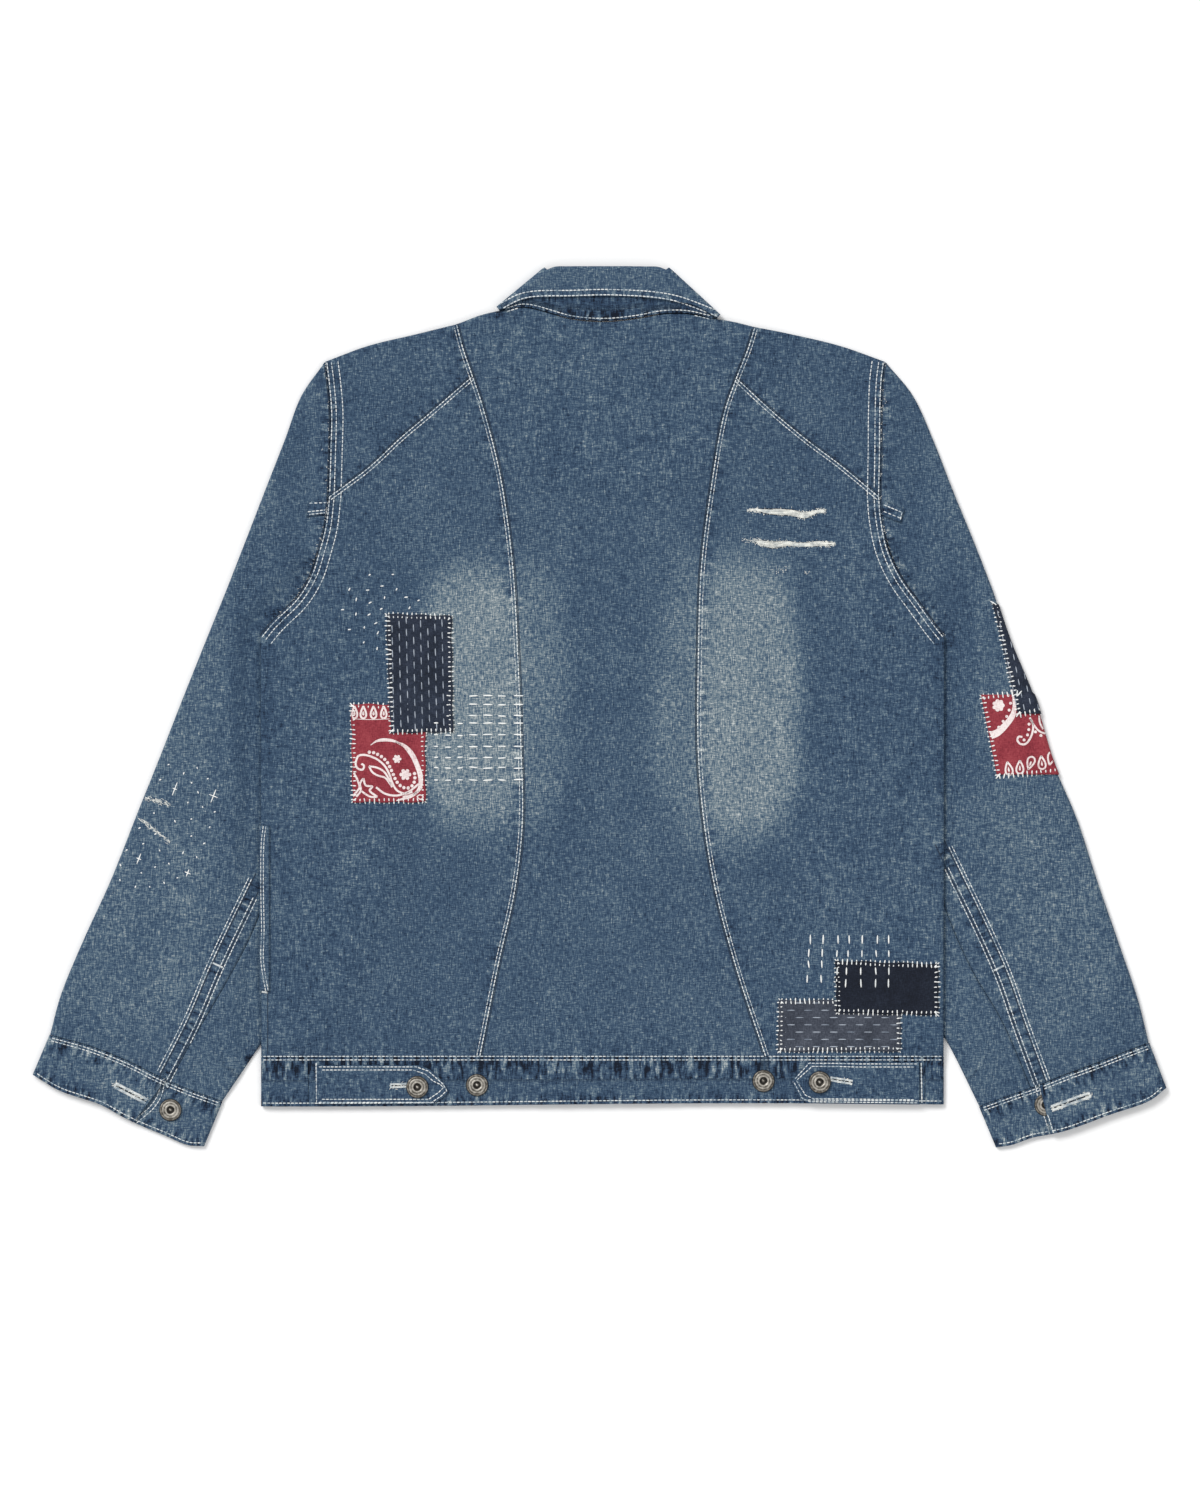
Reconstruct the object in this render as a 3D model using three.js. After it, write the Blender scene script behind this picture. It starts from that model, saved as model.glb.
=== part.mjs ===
// A patched denim work jacket, laid flat on its front with its back up. Millimetres, +Z up.
// +Y runs to the collar and +X to the right of the back view. The surface it lies on is z = 0.
// Every piece of cloth is a closed wall, made from a grid of points on the middle of the cloth that
// are moved out and in by half its thickness.
import * as THREE from "three";

// Thicknesses and gaps
const CLOTH = 1.2; // one layer of denim
const DOUBLE = 2.0; // two layers sewn together: waistband, cuffs and collar leaf
const STAND = 1.6; // the collar's stand
const PATCH = 1.0; // patch cloth with its turned edge
const TAB = 1.6; // the waist tabs
const WELT = 1.2; // the pocket's edge
const SEAM_GAP = 0.36;
const LAY_GAP = 0.22; // under a patch, a tab or a button

// Heights of the middle of each layer above the floor
const FRONT_MID = CLOTH / 2;
const BACK_MID = 5.1;
const BAND_FRONT_MID = DOUBLE / 2;
const BAND_BACK_MID = 4.9;
const CUFF_UNDERLAP = 3.4; // the cuff's under end
const SLEEVE_FREE = 5.5; // upper layer of a sleeve beside the body
const SLEEVE_PRESSED = 2.5; // and where the body lies on it
const SLEEVE_LIFT = 3.75; // how far a sleeve lifts the front layer
const SLEEVE_LIFT_BACK = 2.1; // and the back layer
const COLLAR_LIFT = 2.5; // the same for the wings of the collar
const COLLAR_LIFT_BACK = 1.7;
const CLOSURE_STEP = 2.35; // how far the right front lies over the left one at the centre
const FOLD_RADIUS = 2.6; // how far in from a folded edge the cloth starts to turn

// The body, as seen from the back
const WAIST_Y = -292;
const CENTRE_X = 4;
const FRONT_OVERLAP = 15; // each front passes the centre by this much
const UNDERARM_Y = 61;
const SHOULDER_TIP_Y = 291;
const ARMHOLE_SCOOP = 9; // how much further in the front armhole is cut
const CENTRING = [0.4, -1.66, 0]; // from the outlines' origin to the middle of the whole jacket

const v3 = (x, y, z) => new THREE.Vector3(x, y, z);
const { lerp, clamp, degToRad } = THREE.MathUtils;
const even = (steps) => Array.from({ length: steps + 1 }, (_, i) => i / steps);

function smooth(from, to, value) {
  const t = clamp((value - from) / (to - from), 0, 1);
  return t * t * (3 - 2 * t);
}

// A smooth curve through points, and points at given shares of its length.
function pathOf(points) {
  return new THREE.CatmullRomCurve3(points.map(([x, y, z = 0]) => v3(x, y, z)), false, "centripetal");
}
const pointsOn = (points, shares) => {
  const path = pathOf(points);
  return shares.map((share) => path.getPointAt(share));
};
function chain(points) {
  const path = new THREE.CurvePath();
  for (let i = 1; i < points.length; i++) path.add(new THREE.LineCurve3(points[i - 1], points[i]));
  return path;
}
const lineOf = (from, to, shares) =>
  shares.map((share) => v3(lerp(from[0], to[0], share), lerp(from[1], to[1], share), 0));

// The value at a place on a polyline given as [place, value] pairs in rising order
function tableAt(pairs, place) {
  if (place <= pairs[0][0]) return pairs[0][1];
  for (let i = 1; i < pairs.length; i++) {
    const [before, a] = pairs[i - 1];
    const [after, b] = pairs[i];
    if (place <= after) return lerp(a, b, (place - before) / (after - before));
  }
  return pairs[pairs.length - 1][1];
}

// The two sides of the jacket. Its left side is at the left of the back view, at -X.
// The sleeve is given by its outer fold, its inner fold (most of it under the body) and its cuff.
const SIDES = {
  left: {
    sign: -1,
    sideX: 284,
    armhole: [[-284.6, 61], [-277, 70.5], [-269.6, 78.1], [-254.2, 93.4], [-242.6, 112.7], [-235.9, 133.9],
      [-231, 153.2], [-228.1, 178.2]],
    armholeTop: [[-228.1, 178.2], [-227, 215], [-226.4, 250], [-228.5, 275], [-230.5, SHOULDER_TIP_Y]],
    princessLow: [[-100, WAIST_Y], [-84.6, -215.4], [-70.3, -150.4], [-64.2, -95], [-65.5, -26], [-68.1, 47.1],
      [-72.9, 126.2], [-83.5, 199.5], [-98, 255.4], [-106.5, 280.5]],
    princessTop: [[-106.5, 280.5], [-114.4, 303.7], [-119.3, 322.6]],
    diagonal: [[-228.1, 178.2], [-194.4, 203.3], [-167.4, 228.5], [-142.4, 249.6], [-106.5, 280.5]],
    shoulderOut: [[-230.5, SHOULDER_TIP_Y], [-194.9, 304.2], [-154.6, 314], [-119.3, 322.6]],
    shoulderIn: [[-119.3, 322.6], [-100, 330], [-81, 334.5]],
    neckFront: [[-81, 334.5], [-77, 312], [-61, 282], [-32, 259]],
    outerCap: [[-230.5, SHOULDER_TIP_Y], [-250, 263], [-264, 226], [-280, 185], [-297, 141], [-313, 100]],
    tuckY: 120, // below this the sleeve has gone in under the body
    hiddenArmhole: [[-245, 98], [-248, 78], [-249, 58]],
    innerCap: [[-249, 58], [-253, 46], [-258, 34]],
    outerFold: [[-313, 100], [-330, 58], [-350, 8], [-370, -43], [-390, -93], [-410, -143.6], [-433, -194],
      [-452, -240], [-461.2, -273.8]],
    innerFold: [[-258, 34], [-255, 8], [-245, -30], [-226, -75], [-219, -120], [-226, -165],
      [-243, -210], [-265, -250], [-290, -288], [-317.9, -329.3]],
    cuffTop: [[-461.2, -273.8], [-428.4, -283], [-397.3, -295.2], [-369.2, -309.1], [-347.8, -318.4],
      [-317.9, -329.3]],
    cuffHem: [[-475.4, -307.4], [-454.4, -320], [-418.3, -332.6], [-403.2, -341], [-388, -348.6], [-366, -357.8],
      [-346, -366.2], [-333.5, -367]],
    cuffEnd: [0.675, 0.6], // share of the cuff's width where its lapping end stops, at its seam and hem
    cuffHigh: 5.75,
    cuffButton: { at: [-360.6, -336.6], height: 1 },
    bandSeamX: -245,
    tab: [[-237.7, -299], [-152.9, -299], [-142.8, -302.4], [-136, -308.3], [-130.2, -315], [-127.3, -321.7],
      [-131.5, -325.9], [-139.8, -331.6], [-237.7, -331.6]],
    waistButtons: [[-153.3, -317.3], [-103.2, -315.7]],
  },
  right: {
    sign: 1,
    sideX: 288,
    armhole: [[288.8, 61], [281.2, 70.5], [267.8, 89], [252.3, 110.9], [241.8, 133.9], [236.5, 160],
      [235, 178.2]],
    armholeTop: [[235, 178.2], [235.7, 215], [236, 250], [237, 275], [239, SHOULDER_TIP_Y]],
    princessLow: [[138.2, WAIST_Y], [113.2, -216.6], [95.8, -151.1], [86.2, -93.2], [81.5, -34.4], [81.6, 40],
      [84.2, 118.4], [92.2, 184], [103.8, 249.6], [114, 279]],
    princessTop: [[114, 279], [123.1, 301.7], [128.9, 320.2]],
    diagonal: [[235, 178.2], [202.2, 205.3], [175.2, 225.5], [144.3, 251], [114, 279]],
    shoulderOut: [[239, SHOULDER_TIP_Y], [201.6, 304.2], [158.8, 314.4], [128.9, 320.2]],
    shoulderIn: [[128.9, 320.2], [112, 324.4], [96, 327]],
    neckFront: [[96, 327], [92, 306], [76, 280], [44, 259]],
    outerCap: [[239, SHOULDER_TIP_Y], [262, 263], [279, 226], [295, 185], [313, 141], [329, 100]],
    tuckY: 136,
    hiddenArmhole: [[247, 108], [250, 80], [251, 58]],
    innerCap: [[251, 58], [255, 46], [260, 34]],
    outerFold: [[329, 100], [343, 58], [363.5, 8], [379, -43], [400, -93], [416.6, -143.6], [434, -194],
      [451, -244], [460.2, -280.6]],
    innerFold: [[260, 34], [257, 8], [249, -30], [231, -75], [224, -120], [231, -165], [246, -205],
      [266, -243], [290, -276], [319.2, -333.5]],
    cuffTop: [[460.2, -280.6], [438, -289], [415, -298], [392, -306.5], [368.6, -315.8], [341, -325.6],
      [319.2, -333.5]],
    cuffHem: [[474.6, -318.4], [462, -328.4], [426.7, -341], [392.3, -353.6], [376.3, -357.4], [362.9, -360],
      [345.2, -366.2], [333.5, -367.9]],
    cuffEnd: [0.65, 0.69],
    cuffHigh: 6.5,
    cuffButton: { at: [368, -332.4], height: 0.42 },
    bandSeamX: 273,
    tab: [[268, -296.5], [218.4, -296.5], [195, -296], [174, -296], [160.8, -312.8], [168.4, -328], [175, -331],
      [268, -332]],
    waistButtons: [[184.4, -313.2], [137.2, -312.2]],
  },
};

// Shares of the shared seams' lengths at which both pieces of a seam have their points
const SIDE_SHARES = [0, 0.045, 0.13, 0.24, 0.35, 0.46, 0.57, 0.68, 0.79, 0.9, 1]; // waist to underarm
const ARM_SHARES = [0, 0.16, 0.32, 0.43, 0.6, 0.8, 1]; // underarm to the diagonal seam
const YOKE_SHARES = even(3); // diagonal seam to shoulder
const PRINCESS_AT_UNDERARM = 0.617;
const PRINCESS_SHARES = [
  ...SIDE_SHARES.map((share) => share * PRINCESS_AT_UNDERARM),
  ...ARM_SHARES.slice(1).map((share) => lerp(PRINCESS_AT_UNDERARM, 1, share)),
];
const JUNCTION = PRINCESS_SHARES.length - 1;

const LEAVING = 0.84; // share of a sleeve's armhole edge at which it goes in under the body
// The sleeve is sewn along the panel's own edge down to near the underarm. From there on it has gone in
// under the body, and its edge runs out of sight.
function armholePath(edge, { hiddenArmhole, tuckY }) {
  const down = edge.slice().reverse();
  const kept = down.filter((p) => p.y > tuckY);
  const [last, next] = [kept.at(-1), down[kept.length]];
  const leaving = last.clone().lerp(next, (last.y - tuckY) / (last.y - next.y));
  const sewn = chain([...kept, leaving]);
  const under = chain([leaving, ...hiddenArmhole.map(([x, y]) => v3(x, y, 0))]);
  return (w) => (w <= LEAVING ? sewn.getPointAt(w / LEAVING) : under.getPointAt((w - LEAVING) / (1 - LEAVING)));
}

for (const side of Object.values(SIDES)) {
  side.edge = [
    ...lineOf([side.sign * side.sideX, WAIST_Y], side.armhole[0], SIDE_SHARES),
    ...pointsOn(side.armhole, ARM_SHARES).slice(1),
    ...pointsOn(side.armholeTop, YOKE_SHARES).slice(1),
  ];
  side.princess = [
    ...pointsOn(side.princessLow, PRINCESS_SHARES),
    ...pointsOn(side.princessTop, YOKE_SHARES).slice(1),
  ];
  side.frontEdge = side.edge.map((p) => {
    const height = clamp((p.y - UNDERARM_Y) / (SHOULDER_TIP_Y - UNDERARM_Y), 0, 1);
    return v3(p.x - side.sign * ARMHOLE_SCOOP * Math.sin(Math.PI * height), p.y, 0);
  });
  // The sleeve's edges from the shoulder down
  const armholeStart = SIDE_SHARES.length - 1;
  side.armBack = armholePath(side.edge.slice(armholeStart), side);
  side.armFront = armholePath(side.frontEdge.slice(armholeStart), side);
  side.shoulder = [...pointsOn(side.shoulderOut, even(4)), ...pointsOn(side.shoulderIn, even(2)).slice(1)];
  side.neckEnd = [CENTRE_X - side.sign * FRONT_OVERLAP, 250];
  side.neckPoints = pointsOn([...side.neckFront, side.neckEnd], even(6));
  // How far out the sleeve's inner fold runs under the body at each height
  side.foldTable = side.innerFold.map(([x, y]) => [y, Math.abs(x)]).sort((a, b) => a[0] - b[0]);
  side.foldTable.push([UNDERARM_Y, side.sideX - 30], [side.tuckY + 1, side.sideX - 40],
    [side.tuckY + 20, side.sideX + 61]);
}
const sideOf = (x) => (x < CENTRE_X ? SIDES.left : SIDES.right);

// How far a sleeve that lies under the body lifts it at a point: 0 not at all, 1 fully.
function sleeveLift(x, y) {
  const foldX = tableAt(sideOf(x).foldTable, y);
  return smooth(foldX - 66, foldX - 30, Math.abs(x)) * smooth(-303, -280, y);
}

// The collar's wings lie under the fronts and lift everything round the neck.
function collarLift(x, y) {
  return 1 - smooth(1.15, 1.5, Math.hypot((x - 8) / 112, (y - 300) / 90));
}

// The two fronts' waistbands lie on each other at the centre.
function closureLift(x, y) {
  return (1 - smooth(34, 80, Math.abs(x - CENTRE_X))) * (1 - smooth(-285, -235, y));
}

// Long soft waves in the back, level near the waistband, the collar and the sleeves
function wave(x, y) {
  const calm = (1 - sleeveLift(x, y)) * smooth(-275, -215, y) * (1 - smooth(190, 250, y));
  return 0.45 * calm * Math.sin(x / 41 + y / 90 + 0.6) * Math.sin(y / 58 - x / 150);
}

function frontHeight(x, y) {
  return FRONT_MID + SLEEVE_LIFT * sleeveLift(x, y) + COLLAR_LIFT * collarLift(x, y);
}

function backHeight(x, y) {
  return BACK_MID + SLEEVE_LIFT_BACK * sleeveLift(x, y) + COLLAR_LIFT_BACK * collarLift(x, y)
    + 0.9 * closureLift(x, y) + wave(x, y);
}

// A quarter turn of cloth at a folded edge: 0 at the very edge, 1 where the cloth lies flat.
function turn(distance) {
  const rest = clamp(1 - distance / FOLD_RADIUS, 0, 1);
  return Math.sqrt(1 - rest * rest);
}
const TURN_STEP = 0.25 * FOLD_RADIUS;
const TURN_STEPS = [0, TURN_STEP, FOLD_RADIUS];

// One point inside four edges, from the points on the edges at the same shares
function blend(u, v, left, right, bottom, top, corners) {
  const p = v3(0, 0, 0);
  p.addScaledVector(left, 1 - u).addScaledVector(right, u);
  p.addScaledVector(bottom, 1 - v).addScaledVector(top, v);
  p.addScaledVector(corners.bottomLeft, -(1 - u) * (1 - v)).addScaledVector(corners.bottomRight, -u * (1 - v));
  p.addScaledVector(corners.topLeft, -(1 - u) * v).addScaledVector(corners.topRight, -u * v);
  return { x: p.x, y: p.y, drop: 0 };
}

// Fills the inside of four edges. left and right run up, bottom and top run to the right.
function fill(left, right, bottom, top) {
  const spread = (edge) => {
    const reached = [0];
    for (let i = 1; i < edge.length; i++) reached.push(reached[i - 1] + edge[i].distanceTo(edge[i - 1]));
    return reached.map((d) => d / reached[reached.length - 1]);
  };
  const mean = (a, b) => a.map((t, i) => (t + b[i]) / 2);
  const across = mean(spread(bottom), spread(top));
  const up = mean(spread(left), spread(right));
  const corners = { bottomLeft: bottom[0], bottomRight: bottom.at(-1), topLeft: top[0], topRight: top.at(-1) };
  return up.map((v, j) => across.map((u, i) => blend(u, v, left[j], right[j], bottom[i], top[i], corners)));
}

// Adds points close to a folded edge and marks how far each has turned. share(point) is 1 where the
// edge is folded, and 0 where it is a plain seam.
function foldRow(row, share) {
  const [edge, next] = row;
  const length = Math.hypot(next.x - edge.x, next.y - edge.y);
  const turning = TURN_STEPS.map((distance) => ({
    x: lerp(edge.x, next.x, distance / length),
    y: lerp(edge.y, next.y, distance / length),
    drop: share(edge) * (1 - turn(distance)),
  }));
  return [...turning, ...row.slice(1)];
}
const mirrored = (grid) => grid.map((row) => row.slice().reverse());
const turned = (grid) => grid[0].map((_, i) => grid.map((row) => row[i]));
const foldFirst = (grid, share) => grid.map((row) => foldRow(row, share));
const foldTop = (grid, share) => turned(mirrored(foldFirst(mirrored(turned(grid)), share)));

// Moves an edge of a grid in by half the seam gap, so that pieces don't touch.
function trim(grid, edges) {
  const shift = (edge, next) => {
    const share = SEAM_GAP / 2 / Math.hypot(next.x - edge.x, next.y - edge.y);
    edge.x = lerp(edge.x, next.x, share);
    edge.y = lerp(edge.y, next.y, share);
  };
  if (edges.includes("left")) grid.forEach((row) => shift(row[0], row[1]));
  if (edges.includes("right")) grid.forEach((row) => shift(row.at(-1), row.at(-2)));
  if (edges.includes("bottom")) grid[0].forEach((p, i) => shift(p, grid[1][i]));
  if (edges.includes("top")) grid.at(-1).forEach((p, i) => shift(p, grid.at(-2)[i]));
  return grid;
}

// Unit normals of a grid of points on the middle of the cloth. The rows of a closed grid are rings.
function normalsOf(grid, closed = false) {
  const rows = grid.length;
  const columns = grid[0].length;
  const beside = (i) => (closed ? (i + columns) % columns : clamp(i, 0, columns - 1));
  return grid.map((row, j) => row.map((_, i) => {
    const across = v3().subVectors(row[beside(i + 1)], row[beside(i - 1)]);
    const up = v3().subVectors(grid[Math.min(j + 1, rows - 1)][i], grid[Math.max(j - 1, 0)][i]);
    return across.cross(up).normalize();
  }));
}

const finish = (name, color, roughness, metalness = 0) =>
  new THREE.MeshStandardMaterial({ name, color, roughness, metalness });
const DENIM = finish("denim", "#475b72", 0.9);
const INDIGO = finish("indigo_patch", "#2a3040", 0.9);
const RED = finish("red_patch", "#a8464f", 0.85);
const BLACK = finish("black_patch", "#202632", 0.9);
const GREY = finish("grey_patch", "#4a505c", 0.9);
const METAL = finish("button_metal", "#9a958c", 0.4, 1);

const jacket = new THREE.Group();
function add(name, geometry, material) {
  const mesh = new THREE.Mesh(geometry, material);
  mesh.name = name;
  jacket.add(mesh);
  return mesh;
}

// A closed wall between two grids of points of the same size. The first grid's normals point out.
function wall(outer, inner) {
  const rows = outer.length;
  const columns = outer[0].length;
  const positions = [...outer.flat(), ...inner.flat()].flatMap((p) => [p.x, p.y, p.z]);
  const index = [];
  const quad = (a, b, c, d) => index.push(a, b, c, a, c, d);
  const out = (j, i) => j * columns + i;
  const inn = (j, i) => rows * columns + out(j, i);
  for (let j = 0; j < rows - 1; j++) {
    for (let i = 0; i < columns - 1; i++) {
      quad(out(j, i), out(j, i + 1), out(j + 1, i + 1), out(j + 1, i));
      quad(inn(j, i), inn(j + 1, i), inn(j + 1, i + 1), inn(j, i + 1));
    }
    quad(out(j, 0), out(j + 1, 0), inn(j + 1, 0), inn(j, 0));
    quad(out(j, columns - 1), inn(j, columns - 1), inn(j + 1, columns - 1), out(j + 1, columns - 1));
  }
  for (let i = 0; i < columns - 1; i++) {
    quad(out(0, i), inn(0, i), inn(0, i + 1), out(0, i + 1));
    quad(out(rows - 1, i), out(rows - 1, i + 1), inn(rows - 1, i + 1), inn(rows - 1, i));
  }
  const geometry = new THREE.BufferGeometry();
  geometry.setAttribute("position", new THREE.Float32BufferAttribute(positions, 3));
  geometry.setIndex(index);
  return geometry;
}

function cloth(points, thickness, normals = normalsOf(points)) {
  const moved = (offset) =>
    points.map((row, j) => row.map((p, i) => p.clone().addScaledVector(normals[j][i], offset)));
  return wall(moved(thickness / 2), moved(-thickness / 2));
}

// Gives the points of a body panel their height. Where a panel turns at a fold its normal is laid
// level, so that the front and the back piece meet face to face there.
function panel(name, grid, layer) {
  const points = grid.map((row) => row.map(({ x, y, drop, rise = 0 }) => {
    const top = backHeight(x, y);
    const low = frontHeight(x, y);
    const half = drop * (top - low - SEAM_GAP) / 2;
    return v3(x, y, layer === "back" ? top - half : low + half + rise);
  }));
  const normals = normalsOf(points);
  normals.forEach((row, j) => row.forEach((n, i) => {
    n.z *= 1 - smooth(0.8, 1, grid[j][i].drop);
    n.normalize();
  }));
  return add(name, cloth(points, CLOTH, normals), DENIM);
}

// The side is folded up to the underarm, where the body lies over the sleeve.
const sideShare = (p) => 1 - smooth(80, 94, p.y);

// Back middle panel
{
  const { left, right } = SIDES;
  const neck = pointsOn([[-81, 334.5], [-63.2, 336.6], [-22.7, 326.6], [5, 324.6], [31.5, 327.3], [52.4, 331],
    [71.9, 331.2], [96, 327]], even(9));
  const top = [
    ...pointsOn(left.shoulderIn, even(2)),
    ...neck.slice(1),
    ...pointsOn(right.shoulderIn, even(2)).reverse().slice(1),
  ];
  const bottom = lineOf(left.princessLow[0], right.princessLow[0], even(top.length - 1));
  const shoulderShare = (p) => Math.max(1 - smooth(-81, -72, p.x), smooth(86, 95, p.x));
  const grid = foldTop(fill(left.princess, right.princess, bottom, top), shoulderShare);
  panel("back_center", trim(grid, ["left", "right", "bottom"]), "back");
}

for (const [name, side] of Object.entries(SIDES)) {
  const { sign } = side;
  const facing = (grid) => (sign < 0 ? grid : mirrored(grid));
  const waist = (endX, shares) => lineOf([sign * side.sideX, WAIST_Y], [endX, WAIST_Y], shares);

  // Back side panel, from the side fold to the princess seam and up to the diagonal seam
  const back = fill(side.edge.slice(0, JUNCTION + 1), side.princess.slice(0, JUNCTION + 1),
    waist(side.princessLow[0][0], even(10)), pointsOn(side.diagonal, even(10)));
  const backFolded = foldFirst(back, sideShare);
  panel(`back_side_${name}`, facing(trim(backFolded, ["left", "right", "bottom", "top"])), "back");

  // Back yoke, from the diagonal seam to the shoulder fold
  const yoke = fill(side.edge.slice(JUNCTION), side.princess.slice(JUNCTION),
    pointsOn(side.diagonal, even(4)), pointsOn(side.shoulderOut, even(4)));
  panel(`back_yoke_${name}`, facing(trim(foldTop(yoke, () => 1), ["left", "bottom", "right"])), "back");

  // Front, which lies on the floor. The right one laps over the left one at the centre.
  const top = [...side.shoulder, ...side.neckPoints.slice(1)];
  const centreLine = lineOf([side.neckEnd[0], WAIST_Y], side.neckEnd, even(side.edge.length - 1));
  const front = fill(side.frontEdge, centreLine, waist(side.neckEnd[0], even(top.length - 1)), top);
  const neckStart = Math.abs(side.neckFront[0][0]);
  const shoulderShare = (p) => smooth(neckStart - 9, neckStart - 1, Math.abs(p.x)) * smooth(280, 288, p.y);
  const folded = foldTop(foldFirst(front, sideShare), shoulderShare);
  if (sign > 0) {
    folded.forEach((row) => row.forEach((p) => {
      p.rise = 1.6 * (1 - smooth(28, 60, p.x));
    }));
  }
  panel(`front_${name}`, facing(trim(folded, ["left", "bottom"])), "front");
}

// Sleeves
const SEAM_AT_CUFF = 0.7; // share of the sleeve's width where its back seam meets the cuff
const SEAM_AT_ARMHOLE = 0.92;
const FRONT_SEAM = LEAVING; // and where its other seam runs, on the underside
const UPPER_SHARES = [1, 0.913, 0.837, 0.75, 0.652, 0.52, 0.37, 0.185]; // from the back seam out
const CAP_SHARES = [0, 0.12, 0.28, 0.5, 0.75, 1]; // rows from the armhole to the underarm's level
const ARM_ROWS = [0.03, 0.07, 0.13, 0.2, 0.27, 0.34, 0.41, 0.48, 0.55, 0.62, 0.69, 0.76, 0.83, 0.89, 0.945, 1];

for (const [name, side] of Object.entries(SIDES)) {
  const { sign, sideX, tuckY } = side;
  const facing = (grid) => (sign < 0 ? grid : mirrored(grid));
  const neckOuter = v3(...side.outerFold[0], 0);
  const neckInner = v3(...side.innerFold[0], 0);
  const outerCap = pathOf(side.outerCap);
  const innerCap = pathOf(side.innerCap);
  const outerFold = pathOf(side.outerFold);
  const innerFold = pathOf(side.innerFold);
  const cuffTop = pathOf(side.cuffTop);

  // Every row crosses the sleeve from its outer fold (w = 0) to its inner fold (w = 1).
  const rows = [
    ...CAP_SHARES.map((v) => ({ cap: true, v, outer: outerCap.getPointAt(v), inner: innerCap.getPointAt(v) })),
    ...ARM_ROWS.map((v) => ({ cap: false, v, outer: outerFold.getPointAt(v), inner: innerFold.getPointAt(v) })),
  ];
  for (const row of rows) {
    row.width = row.outer.distanceTo(row.inner);
    row.seam = row.cap ? SEAM_AT_ARMHOLE : lerp(SEAM_AT_ARMHOLE, SEAM_AT_CUFF, smooth(0, 0.55, row.v));
  }

  function planPoint(row, w, layer) {
    const neck = neckOuter.clone().lerp(neckInner, w);
    if (!row.cap) {
      return blend(w, row.v, row.outer, row.inner, neck, cuffTop.getPointAt(w), {
        bottomLeft: neckOuter, bottomRight: neckInner,
        topLeft: cuffTop.getPointAt(0), topRight: cuffTop.getPointAt(1),
      });
    }
    const edge = layer === "high" ? side.armBack : side.armFront;
    const armhole = edge(w);
    if (row.v === 0 && w <= LEAVING) {
      const along = v3().subVectors(edge(Math.min(w + 0.01, LEAVING)), edge(Math.max(w - 0.01, 0))).normalize();
      armhole.add(v3(-sign * along.y, sign * along.x, 0).multiplyScalar(1.25 * SEAM_GAP));
    }
    return blend(w, row.v, row.outer, row.inner, armhole, neck, {
      bottomLeft: side.armBack(0), bottomRight: innerCap.getPointAt(0),
      topLeft: neckOuter, topRight: neckInner,
    });
  }

  // Height of the upper layer: level with the back at the armhole, pressed down under the body and at
  // the underarm, free beside it, with a soft valley alongside the armhole and long waves down the arm.
  function upperHeight(row, w, x, y) {
    const fromSide = Math.abs(x) - sideX;
    const fromCorner = fromSide * 0.72 + (y - UNDERARM_Y) * 0.69;
    const beside = Math.max(smooth(9, 26, Math.max(fromSide, fromCorner)), smooth(tuckY - 2, tuckY + 20, y));
    const free = lerp(SLEEVE_PRESSED, SLEEVE_FREE, beside);
    if (!row.cap) {
      const across = Math.abs(x) * 0.92 - y * 0.39;
      const waves = 0.35 * Math.sin(y / 33 + across / 60) * smooth(0, 0.15, row.v) * beside;
      const toCuff = smooth(0.88, 1, row.v) * (0.3 + 1.6 * smooth(0.6, 0.85, w)) * beside;
      return free + waves - toCuff;
    }
    const atArmhole = side.armBack(w);
    const valley = 1.1 * Math.sin(Math.PI * clamp(row.v / 0.56, 0, 1)) * (1 - smooth(0.55, 0.75, w));
    const tucked = 1 - smooth(tuckY + 1, tuckY + 20, atArmhole.y);
    const seamHeight = lerp(backHeight(atArmhole.x, atArmhole.y), SLEEVE_PRESSED, tucked);
    const fade = lerp(0.7, 0.22, smooth(0.45, 0.75, w));
    return lerp(seamHeight, free, smooth(0, fade, row.v)) - valley;
  }
  function lowerHeight(row, w) {
    if (!row.cap) return FRONT_MID;
    const atArmhole = side.armFront(w);
    const joined = smooth(tuckY + 4, tuckY + 20, atArmhole.y);
    const seamHeight = lerp(FRONT_MID, frontHeight(atArmhole.x, atArmhole.y), joined);
    return lerp(seamHeight, FRONT_MID, smooth(0, 0.6, row.v));
  }

  // One point of the ring. turnedBy is 1 at a fold and 0 where the cloth lies flat.
  function ringPoint(row, [w, layer, turnedBy]) {
    const { x, y } = planPoint(row, w, layer);
    const high = upperHeight(row, w, x, y);
    const low = lowerHeight(row, w);
    const half = (high - low) / 2 * turnedBy;
    return v3(x, y, layer === "high" ? high - half : low + half);
  }
  const foldPoints = (row, fold) => {
    const place = (distance) => Math.abs(fold - distance / row.width);
    return [
      [place(FOLD_RADIUS), "high", 0], [place(TURN_STEP), "high", 1 - turn(TURN_STEP)], [fold, "high", 1],
      [place(TURN_STEP), "low", 1 - turn(TURN_STEP)], [place(FOLD_RADIUS), "low", 0],
    ];
  };
  const flat = (from, to, steps, layer) => even(steps).map((share) => [lerp(from, to, share), layer, 0]);

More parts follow.
